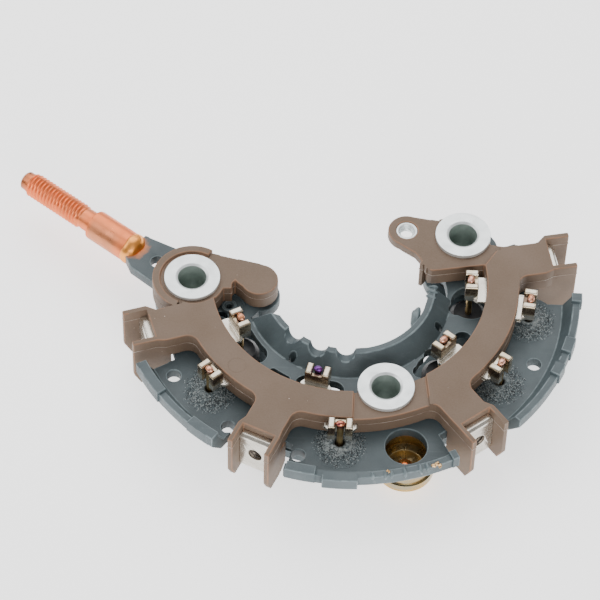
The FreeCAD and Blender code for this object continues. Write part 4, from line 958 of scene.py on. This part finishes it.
def drop(place, size, turn, seed):
    """A small uneven lump at place: size along, across and up, turned about Z by turn degrees."""
    bm = bmesh.new()
    bmesh.ops.create_icosphere(bm, subdivisions=3, radius=1.0)
    waves, swing = 1.3, 0.35
    for vert in bm.verts:
        vert.co += vert.normal * noise.noise(vert.co * waves + Vector((seed, 0, 0))) * swing
    bmesh.ops.scale(bm, vec=Vector(size) / 2, verts=bm.verts)
    bmesh.ops.rotate(bm, matrix=Matrix.Rotation(math.radians(turn), 3, "Z"), verts=bm.verts)
    bmesh.ops.translate(bm, vec=place, verts=bm.verts)
    return bm


def raised_ring(profile, radius, centre, steps):
    """A ring about centre, from a profile in millimetres about its radius."""
    return lathe([(radius + across * MM, up * MM) for across, up in profile], centre, steps)


def lumps(items, name, material, wear_and_highlight=0.0):
    """One piece of the positive sink made of drops: a place, size, turn and seed for each."""
    bm = bmesh.new()
    for place, size, turn, seed in items:
        join(bm, drop(place, size, turn, seed))
    # Share of the lighter edge colour: partly wear, partly painted highlight
    worn_and_lit = bm.faces.layers.float.new("edge_wear_and_highlight")
    for face in bm.faces:
        face[worn_and_lit] = wear_and_highlight
    finish_piece(bm, name, [material], smooth=80.0)


def stud_foot():
    """Centre of the stud's foot and the stud's direction."""
    place, axis = mount_place("output_stud")
    return place - axis * (STUD_THREAD / 2 + STUD_NECK + STUD_SHOULDER), axis


# Operators


class RECTIFIER_OT_plain_finishes(bpy.types.Operator):
    """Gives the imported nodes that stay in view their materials"""

    bl_idname = "rectifier.plain_finishes"
    bl_label = "Finishes"

    def execute(self, context):
        nodes = frame["nodes"]
        sleeve = insulator_material()
        resin = resin_material()
        finishes = {"insulator_%s" % side: sleeve for side in SIDES}
        finishes.update({"inner_diode_%d" % phase: resin for phase in PHASES})
        for name, material in finishes.items():
            slots = nodes[name].data.materials
            if not slots:
                raise RuntimeError("node %s has no material slot" % name)
            for index in range(len(slots)):
                slots[index] = material
        return {"FINISHED"}


class RECTIFIER_OT_board(bpy.types.Operator):
    """Moulded terminal board with rounded edges, its parting line and an ejector mark"""

    bl_idname = "rectifier.board"
    bl_label = "Terminal board"

    def execute(self, context):
        chosen = sizes()
        brown = board_material()
        rounded_node("terminal_board", "moulded_board", brown, chosen.board_edge)
        self.parting_line(chosen)
        mark = ring_point(MARK_DISTANCE, MARK_AZIMUTH, BOARD_TOP)
        ring = raised_ring(MARK_PROFILE, MARK_RADIUS, mark, chosen.turns)
        finish_piece(ring, "ejector_mark", [brown])
        return {"FINISHED"}

    def parting_line(self, chosen):
        """A thin strip cut out of the board's own walls and pushed outwards."""
        stand_out = 0.045 * MM
        strip_depth = 0.15 * MM
        bm = solid_copy("terminal_board")
        level = BOARD_TOP - chosen.flash_drop
        for way in (1, -1):
            edge = level + way * chosen.flash_height / 2
            cut(bm, UP * edge, UP * way, 0.0001 * MM, drop_outer=True)
        flat = [face for face in bm.faces if abs(face.normal.z) > 0.5]
        bmesh.ops.delete(bm, geom=flat, context="FACES")
        bmesh.ops.remove_doubles(bm, verts=bm.verts, dist=0.003 * MM)
        if not bm.faces:
            raise RuntimeError("the parting line's height misses the board's walls")
        bm.normal_update()
        for vert in bm.verts:
            vert.co += vert.normal * stand_out
        bmesh.ops.solidify(bm, geom=bm.faces[:], thickness=strip_depth)
        finish_piece(bm, "parting_line", [flash_material()])


class RECTIFIER_OT_sinks(bpy.types.Operator):
    """Both heat sinks with rounded edges, lighter as wear and painted highlight, runs and chips in the
    coating, a torn end and the rivet
    """

    bl_idname = "rectifier.sinks"
    bl_label = "Heat sinks"

    def execute(self, context):
        chosen = sizes()
        coat = sink_material()
        for sign in ("positive", "negative"):
            name = sign + "_sink_coated"
            rounded_node(sign + "_heat_sink", name, coat, chosen.sink_edge)
        self.runs(coat)
        self.torn_end(coat)
        self.chips()
        self.rivet(chosen, coat)
        return {"FINISHED"}

    def runs(self, coat):
        """Thick runs of coating down the rim's inner slope, coloured lighter as painted highlight
        streaks.
        """
        drops = []
        for seed, (azimuth, reach) in enumerate(COATING_RUNS):
            spot = ring_point(RUN_DISTANCE, azimuth, RIM_TOP - RUN_DEPTH / 2)
            drops.append((spot, (reach * MM, RUN_WIDTH, RUN_DEPTH), azimuth, seed))
        lumps(drops, "coating_runs", coat, 0.9)

    def torn_end(self, coat):
        """Torn and folded metal at the right end of the inner flange, coloured lighter: partly wear,
        partly painted highlight.
        """
        first_seed = 20
        drops = []
        for seed, (place, size, turn) in enumerate(TORN_BITS, first_seed):
            drops.append((Vector(place) * MM, Vector(size) * MM, turn, seed))
        lumps(drops, "torn_flange_end", coat, 0.8)

    def chips(self):
        """Two places where the coating is chipped down to bright metal, each of three flakes."""
        bright = (0.95, 0.62, 0.30)
        flakes = 3
        drops = []
        for index, (distance, azimuth, scale) in enumerate(COATING_CHIPS):
            spot = ring_point(distance * MM, azimuth, RIM_TOP - CHIP_DROP)
            size = (0.8 * scale * MM, 0.55 * scale * MM, 0.5 * MM)
            for flake in range(flakes):
                aside = Vector((flake * 0.45 - 0.45, (flake % 2) * 0.35 - 0.2, 0.0)) * scale * MM
                drops.append((spot + aside, size, flake * 40.0, index * 5 + flake))
        lumps(drops, "coating_chips", metal_finish("bare_chip", bright, 0.3, 0.4, 0.3).material)

    def rivet(self, chosen, coat):
        """Flared rivet and the ring pressed round it."""
        rounded_node("sink_rivet", "coated_rivet", coat, RIVET_EDGE)
        centre = on_ground(middle("sink_rivet")) + UP * SINK_TOP
        ring = raised_ring(RIVET_RING_PROFILE, RIVET_RING_RADIUS, centre, chosen.turns)
        finish_piece(ring, "rivet_ring", [coat], smooth=60.0)


class RECTIFIER_OT_bushes(bpy.types.Operator):
    """Zinc plated mounting bushes, and the insert in the ear"""

    bl_idname = "rectifier.bushes"
    bl_label = "Bushes"

    def execute(self, context):
        chosen = sizes()
        zinc = zinc_material()
        dark = bore_shade_material()
        wall = 1.0 * MM
        collar_wall = 2.2 * MM
        plate = 1.0 * MM
        flare = 0.60 * MM
        soft = 0.12 * MM
        chamfer = 0.2 * MM
        for side in SIDES:
            node = "mounting_bush_" + side
            bottom, top = (corner.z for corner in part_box(node))
            centre = on_ground(mount_place("bolt_" + side)[0])
            head = half_width(node)
            bore = mount_radius("bolt_" + side)
            tube = bore + wall
            collar = bore + collar_wall
            profile = [
                (bore, bottom + soft),
                (bore, top - flare * 1.4),
                (bore + flare * 0.25, top - flare * 0.6),
                (bore + flare, top - 0.05 * MM),
                (bore + flare * 1.4, top),
                (head - soft, top),
                (head - soft * 0.3, top - soft * 0.3),
                (head, top - soft),
                (head, top - plate + soft),
                (head - soft, top - plate),
                (tube, top - plate),
                (tube, bottom + plate),
                (collar - chamfer, bottom + plate),
                (collar, bottom + plate - chamfer),
                (collar, bottom + soft),
                (collar - chamfer, bottom),
                (bore + soft, bottom),
            ]
            bm = lathe(profile, centre, chosen.turns)
            # Faces inside the bore take the darker material: painted shade down the bore
            for face in bm.faces:
                spot = face.calc_center_median() - centre
                if on_ground(spot).length < bore + 0.1 * MM and spot.z < top - flare:
                    face.material_index = 1
            finish_piece(bm, "plated_bush_" + side, [zinc, dark], [node])
        self.insert(chosen, zinc)
        return {"FINISHED"}

    def insert(self, chosen, zinc):
        """Threaded insert in the ear, with a countersunk mouth."""
        mouth = 0.5 * MM
        soft = 0.1 * MM
        crest_depth = 0.28 * MM
        core = mount_radius("ear_thread")
        bottom, top = (corner.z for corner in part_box("ear_insert"))
        centre = on_ground(mount_place("ear_thread")[0])
        outer = half_width("ear_insert")
        bm = lathe([
            (core, bottom),
            (core, top - mouth),
            (core + 0.25 * MM, top - soft),
            (core + 0.4 * MM, top),
            (outer - soft, top),
            (outer, top - soft),
            (outer, bottom),
        ], centre, chosen.turns)
        start = centre + UP * (bottom + soft)
        length = top - bottom - mouth
        crest = core - crest_depth
        ridge = thread_ridge(start, UP, core, crest, chosen.screw_pitch, length, SCREW_STEPS)
        finish_piece(join(bm, ridge), "threaded_insert", [zinc], ["ear_insert"])


class RECTIFIER_OT_stud(bpy.types.Operator):
    """Copper output stud with its rolled thread and weld bead"""

    bl_idname = "rectifier.stud"
    bl_label = "Output stud"

    def execute(self, context):
        chosen = sizes()
        foot, axis = stud_foot()
        crest = mount_radius("output_stud")
        core = crest - 0.46 * MM
        begin = STUD_SHOULDER + STUD_NECK
        end = begin + STUD_THREAD
        shoulder = 3.7 * MM
        neck = 2.65 * MM
        point = 2.3 * MM
        bm = lathe([
            (0.0, 0.0),
            (shoulder - 1.2 * MM, 0.0),
            (shoulder - 0.35 * MM, 0.7 * MM),
            (shoulder, 1.4 * MM),
            (shoulder, STUD_SHOULDER - 0.5 * MM),
            (shoulder - 0.12 * MM, STUD_SHOULDER - 0.15 * MM),
            (shoulder - 0.45 * MM, STUD_SHOULDER),
            (neck + 0.1 * MM, STUD_SHOULDER),
            (neck, STUD_SHOULDER + 0.2 * MM),
            (neck, begin - 0.5 * MM),
            (core, begin),
            (core, end - 0.3 * MM),
            (point, end + 0.6 * MM),
            (point, end + STUD_POINT - 0.4 * MM),
            (point - 0.35 * MM, end + STUD_POINT),
            (0.0, end + STUD_POINT),
        ], foot, chosen.turns, axis, closed=False)
        start = foot + axis * begin
        ridge = thread_ridge(start, axis, core, crest, chosen.stud_pitch, STUD_THREAD, STUD_STEPS)
        copper = copper_material()
        finish_piece(join(bm, ridge), "threaded_stud", [copper], ["b_plus_stud"])
        self.weld(chosen, foot, axis)
        return {"FINISHED"}

    def weld(self, chosen, foot, axis):
        """An uneven bead between the shoulder and the lug."""
        profile = [(radius * MM, along * chosen.weld_width) for radius, along in WELD_PROFILE]
        bm = lathe(profile, foot, WELD_STEPS, axis)
        bmesh.ops.subdivide_edges(bm, edges=bm.edges[:], cuts=1, use_grid_fill=True, smooth=0.4)
        for vert in bm.verts:
            out = vert.co - foot
            along = out.dot(axis)
            radial = (out - axis * along).normalized()
            swell = noise.noise(vert.co * 420.0) + 0.4 * noise.noise(vert.co * 900.0)
            slide = noise.noise(vert.co * 350.0 + Vector((7, 3, 1)))
            vert.co += radial * swell * 0.10 * MM + axis * slide * 0.45 * MM
        finish_piece(bm, "stud_weld", [weld_material()], smooth=150.0)


class RECTIFIER_OT_terminals(bpy.types.Operator):
    """Tinned phase straps with their clips, nuts and tapped screw holes"""

    bl_idname = "rectifier.terminals"
    bl_label = "Phase terminals"

    def execute(self, context):
        chosen = sizes()
        tin = tin_material()
        zinc = zinc_material()
        # Dark colour for the tapped threads: painted shade inside the screw holes
        thread_shade = (0.20, 0.17, 0.14)
        dull = metal_finish("tapped_thread_shade", thread_shade, 0.35, 0.5, 0.4).material
        length = 3.4 * MM
        crest_depth = 0.3 * MM
        for phase in PHASES:
            self.strap(chosen, phase, tin)
            node = "terminal_nut_%d" % phase
            rounded_node(node, "square_nut_%d" % phase, zinc, chosen.metal_edge)
            mount = "phase_terminal_%d" % phase
            place, axis = mount_place(mount)
            core = mount_radius(mount)
            crest = core - crest_depth
            start = place - axis * length / 2
            ridge = thread_ridge(start, axis, core, crest, chosen.screw_pitch, length, SCREW_STEPS)
            finish_piece(ridge, "tapped_thread_%d" % phase, [dull])
        return {"FINISHED"}

    def strap(self, chosen, phase, tin):
        """A strap with rounded prongs, and two small curls beside its outer clip."""
        node = "phase_strap_%d" % phase
        prong_edge = 0.45 * MM
        prongs_from = BOARD_TOP + 1.5 * MM
        rest_below = BOARD_TOP + 1.3 * MM
        bm = solid_copy(node)
        fill_flat(bm)
        prongs = [edge for edge in sharp_edges(bm) if lowest(edge) > prongs_from]
        round_edges(bm, prongs, prong_edge, segments=3)
        rest = [edge for edge in sharp_edges(bm, limit=50.0) if lowest(edge) < rest_below]
        round_edges(bm, rest, chosen.metal_edge)
        fill_flat(bm)
        out = on_ground(middle("outer_lead_%d" % phase)).normalized()
        across = UP.cross(out)
        level = UP * (BOARD_TOP - CURL_DROP)
        for side in (-1, 1):
            centre = out * CURL_DISTANCE + across * side * CURL_ASIDE + level
            join(bm, self.curl(centre, out, across * side))
        finish_piece(bm, "tinned_strap_%d" % phase, [tin], [node])

    def curl(self, centre, out, across):
        """A narrow strip of the sheet bent round in a hook."""
        bend = across * 0.45 * MM
        half_sheet = across * 0.11 * MM
        half_strip = out * 0.4 * MM
        bm = bmesh.new()
        verts = []
        for sheet, width in ((-1, -1), (1, -1), (1, 1), (-1, 1)):
            verts.append(bm.verts.new(centre + bend + half_sheet * sheet + half_strip * width))
        face = bm.faces.new(verts)
        turned = spin(bm, [face], centre, out, math.radians(275.0), steps=14)
        if not turned["geom_last"]:
            raise RuntimeError("a curl beside a clip could not be bent")
        bmesh.ops.recalc_face_normals(bm, faces=bm.faces)
        return bm


class RECTIFIER_OT_diodes(bpy.types.Operator):
    """Outer diodes with grainy seals, and all the leads with welded tips"""

    bl_idname = "rectifier.diodes"
    bl_label = "Diodes"

    def execute(self, context):
        chosen = sizes()
        seal = seal_material()
        wire = lead_material()
        for phase in PHASES:
            self.outer_diode(chosen, phase, seal)
            for way in ("outer", "inner"):
                self.lead(way, phase, wire)
        return {"FINISHED"}

    def outer_diode(self, chosen, phase, material):
        """Pressed-in case with a low mound of grains that runs out over the heat sink."""
        node = "outer_diode_%d" % phase
        centre = on_ground(middle("outer_lead_%d" % phase))
        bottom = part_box(node)[0].z
        reach = chosen.seal_reach
        case = half_width(node) - 0.8 * MM
        chamfer = 0.3 * MM
        under = 0.4 * MM
        skin = 0.03 * MM
        well = 0.8 * MM
        lip_reach = 1.25 * MM
        lip_width = 0.45 * MM
        lip_drop = 1.2 * MM
        ripple = 0.05 * MM
        ripple_length = 0.42 * MM
        rings = 44
        points = [
            (0.0, bottom),
            (case - chamfer, bottom),
            (case, bottom + chamfer),
            (case, SINK_TOP - under),
            (reach, SINK_TOP - under),
        ]
        for index in range(rings + 1):
            radius = reach + (well - reach) * index / rings
            share = radius / reach
            mound = chosen.seal_height * (0.5 + 0.5 * math.cos(math.pi * min(1.0, share * 1.03)))
            wave = ripple * math.sin(radius / ripple_length) * max(0.0, 0.6 - share)
            lip = max(0.0, lip_reach - radius) / lip_width
            points.append((radius, SINK_TOP + skin + mound + wave - lip_drop * lip * lip))
        points.append((0.0, points[-1][1] - 0.3 * MM))
        bm = lathe(points, centre, SEAL_STEPS, closed=False)
        layer = bm.verts.layers.float.new("reach")
        bloom = bm.verts.layers.float.new("bloom")
        for vert in bm.verts:
            vert[bloom] = SEAL_BLOOM[phase - 1]
            away = on_ground(vert.co - centre).length / reach
            vert[layer] = away
            if vert.co.z > SINK_TOP - 0.1 * MM and away > 0.2:
                rough = max(0.0, 1.0 - away) * min(1.0, (away - 0.2) * 4.0)
                grain = noise.noise(vert.co * 3600.0) + 0.4 * noise.noise(vert.co * 1200.0)
                vert.co.z += grain * chosen.grain * rough
        finish_piece(bm, "sealed_diode_%d" % phase, [material], [node], smooth=80.0)

    def lead(self, way, phase, material):
        """A wire pressed flat between the prongs, with its end melted to a bead."""
        node = "%s_lead_%d" % (way, phase)
        low, high = (corner.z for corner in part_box(node))
        centre = on_ground(middle(node))
        wire = 0.75 * MM
        bead = 1.05 * MM
        neck = high - 1.3 * MM
        rows = 14
        flatten, widen, unevenness = 0.22, 0.06, 0.14
        points = [(0.0, low)]
        points += [(wire, low + (neck - low) * index / rows) for index in range(rows + 1)]
        points += [
            (bead * 0.92, neck + 0.25 * MM),
            (bead, neck + 0.60 * MM),
            (bead * 0.90, neck + 0.95 * MM),
            (bead * 0.55, high - 0.08 * MM),
            (0.0, high),
        ]
        bm = lathe(points, centre, LEAD_STEPS, closed=False)
        out = centre.normalized()
        across = UP.cross(out)
        pressed = BOARD_TOP - 2.0 * MM
        for vert in bm.verts:
            away = vert.co - centre
            share = max(0.0, min(1.0, (away.z - pressed) / MM))
            vert.co -= out * away.dot(out) * flatten * share
            vert.co += across * away.dot(across) * widen * share
            wander = noise.noise(vert.co * 620.0 + Vector((phase, 0, 0)))
            if low < vert.co.z < high:
                vert.co += on_ground(away) * wander * unevenness
        layer = bm.verts.layers.float.new("tempering")
        for vert in bm.verts:
            vert[layer] = LEAD_HEAT[way][phase - 1]
        name = "welded_%s_lead_%d" % (way, phase)
        finish_piece(bm, name, [material], [node], smooth=60.0)


class RECTIFIER_OT_cup(bpy.types.Operator):
    """Brass cup below the positive sink, with the copper eyelet in its floor"""

    bl_idname = "rectifier.cup"
    bl_label = "Brass cup"

    def execute(self, context):
        rounded_node("brass_cup", "polished_cup", brass_material(), CUP_EDGE)
        pink = (0.92, 0.45, 0.22)
        copper = metal_finish("eyelet_copper", pink, 0.28, 0.3, 0.3).material
        rounded_node("cup_eyelet", "pressed_eyelet", copper, EYELET_EDGE)
        return {"FINISHED"}


class RECTIFIER_OT_studio(bpy.types.Operator):
    """Plain pale floor, soft lights and the camera"""

    bl_idname = "rectifier.studio"
    bl_label = "Studio"

    def execute(self, context):
        self.floor()
        self.lights()
        self.camera()
        return {"FINISHED"}

    def floor(self):
        """Plain floor just below the part."""
        bm = bmesh.new()
        bmesh.ops.create_grid(bm, x_segments=8, y_segments=8, size=FLOOR_HALF)
        bmesh.ops.translate(bm, verts=bm.verts, vec=UP * (CAD_BOX[0][2] - FLOOR_GAP))
        floor = show("studio_floor", mesh_of(bm, "studio_floor"))
        floor.data.materials.append(floor_material())

    def lights(self):
        """Even daylight and soft lamps that face the part."""
        world = bpy.data.worlds.new("studio")
        world.use_nodes = True
        back = world.node_tree.nodes["Background"]
        back.inputs["Color"].default_value = (*WHITE, 1.0)
        back.inputs["Strength"].default_value = DAYLIGHT
        bpy.context.scene.world = world
        for name, place, size, power in LAMPS:
            lamp = bpy.data.lights.new(name, "AREA")
            lamp.shape = "DISK"
            lamp.size = size
            lamp.energy = power
            light = show(name, lamp)
            light.location = place
            light.rotation_euler = Vector(place).to_track_quat("Z", "Y").to_euler()

    def camera(self):
        """The photograph's camera."""
        lens = bpy.data.cameras.new("photo_view")
        lens.sensor_width = SENSOR
        lens.lens = LENS
        lens.clip_start = 0.01
        camera = show("photo_view", lens)
        turn = (EYE - TARGET).to_track_quat("Z", "Y").to_matrix().to_4x4()
        roll = Matrix.Rotation(math.radians(ROLL), 4, "Z")
        camera.matrix_world = Matrix.Translation(EYE) @ turn @ roll
        bpy.context.scene.camera = camera


class RECTIFIER_PT_panel(bpy.types.Panel):
    """Lists the steps and their settings"""

    bl_idname = "RECTIFIER_PT_panel"
    bl_label = "Rectifier"
    bl_space_type = "VIEW_3D"
    bl_region_type = "UI"
    bl_category = "Rectifier"

    def draw(self, context):
        for step in STEPS:
            self.layout.operator(step.bl_idname)
        for group in (context.scene.rectifier_sizes, context.scene.rectifier_colours):
            box = self.layout.box()
            for name in group.bl_rna.properties.keys():
                if name not in ("rna_type", "name"):
                    box.prop(group, name)


STEPS = (
    RECTIFIER_OT_plain_finishes,
    RECTIFIER_OT_board,
    RECTIFIER_OT_sinks,
    RECTIFIER_OT_bushes,
    RECTIFIER_OT_stud,
    RECTIFIER_OT_terminals,
    RECTIFIER_OT_diodes,
    RECTIFIER_OT_cup,
    RECTIFIER_OT_studio,
)
CLASSES = (RectifierSizes, RectifierColours, *STEPS, RECTIFIER_PT_panel)


def register():
    """Registers the add-on's classes and its settings."""
    for item in CLASSES:
        bpy.utils.register_class(item)
    bpy.types.Scene.rectifier_sizes = PointerProperty(type=RectifierSizes)
    bpy.types.Scene.rectifier_colours = PointerProperty(type=RectifierColours)


def unregister():
    """Takes the classes and the settings out again."""
    del bpy.types.Scene.rectifier_colours
    del bpy.types.Scene.rectifier_sizes
    for item in reversed(CLASSES):
        bpy.utils.unregister_class(item)


def main():
    """Dresses the part."""
    register()
    bpy.ops.rectifier.plain_finishes()
    bpy.ops.rectifier.board()
    bpy.ops.rectifier.sinks()
    bpy.ops.rectifier.bushes()
    bpy.ops.rectifier.stud()
    bpy.ops.rectifier.terminals()
    bpy.ops.rectifier.diodes()
    bpy.ops.rectifier.cup()
    bpy.ops.rectifier.studio()


if __name__ == "__main__":
    main()
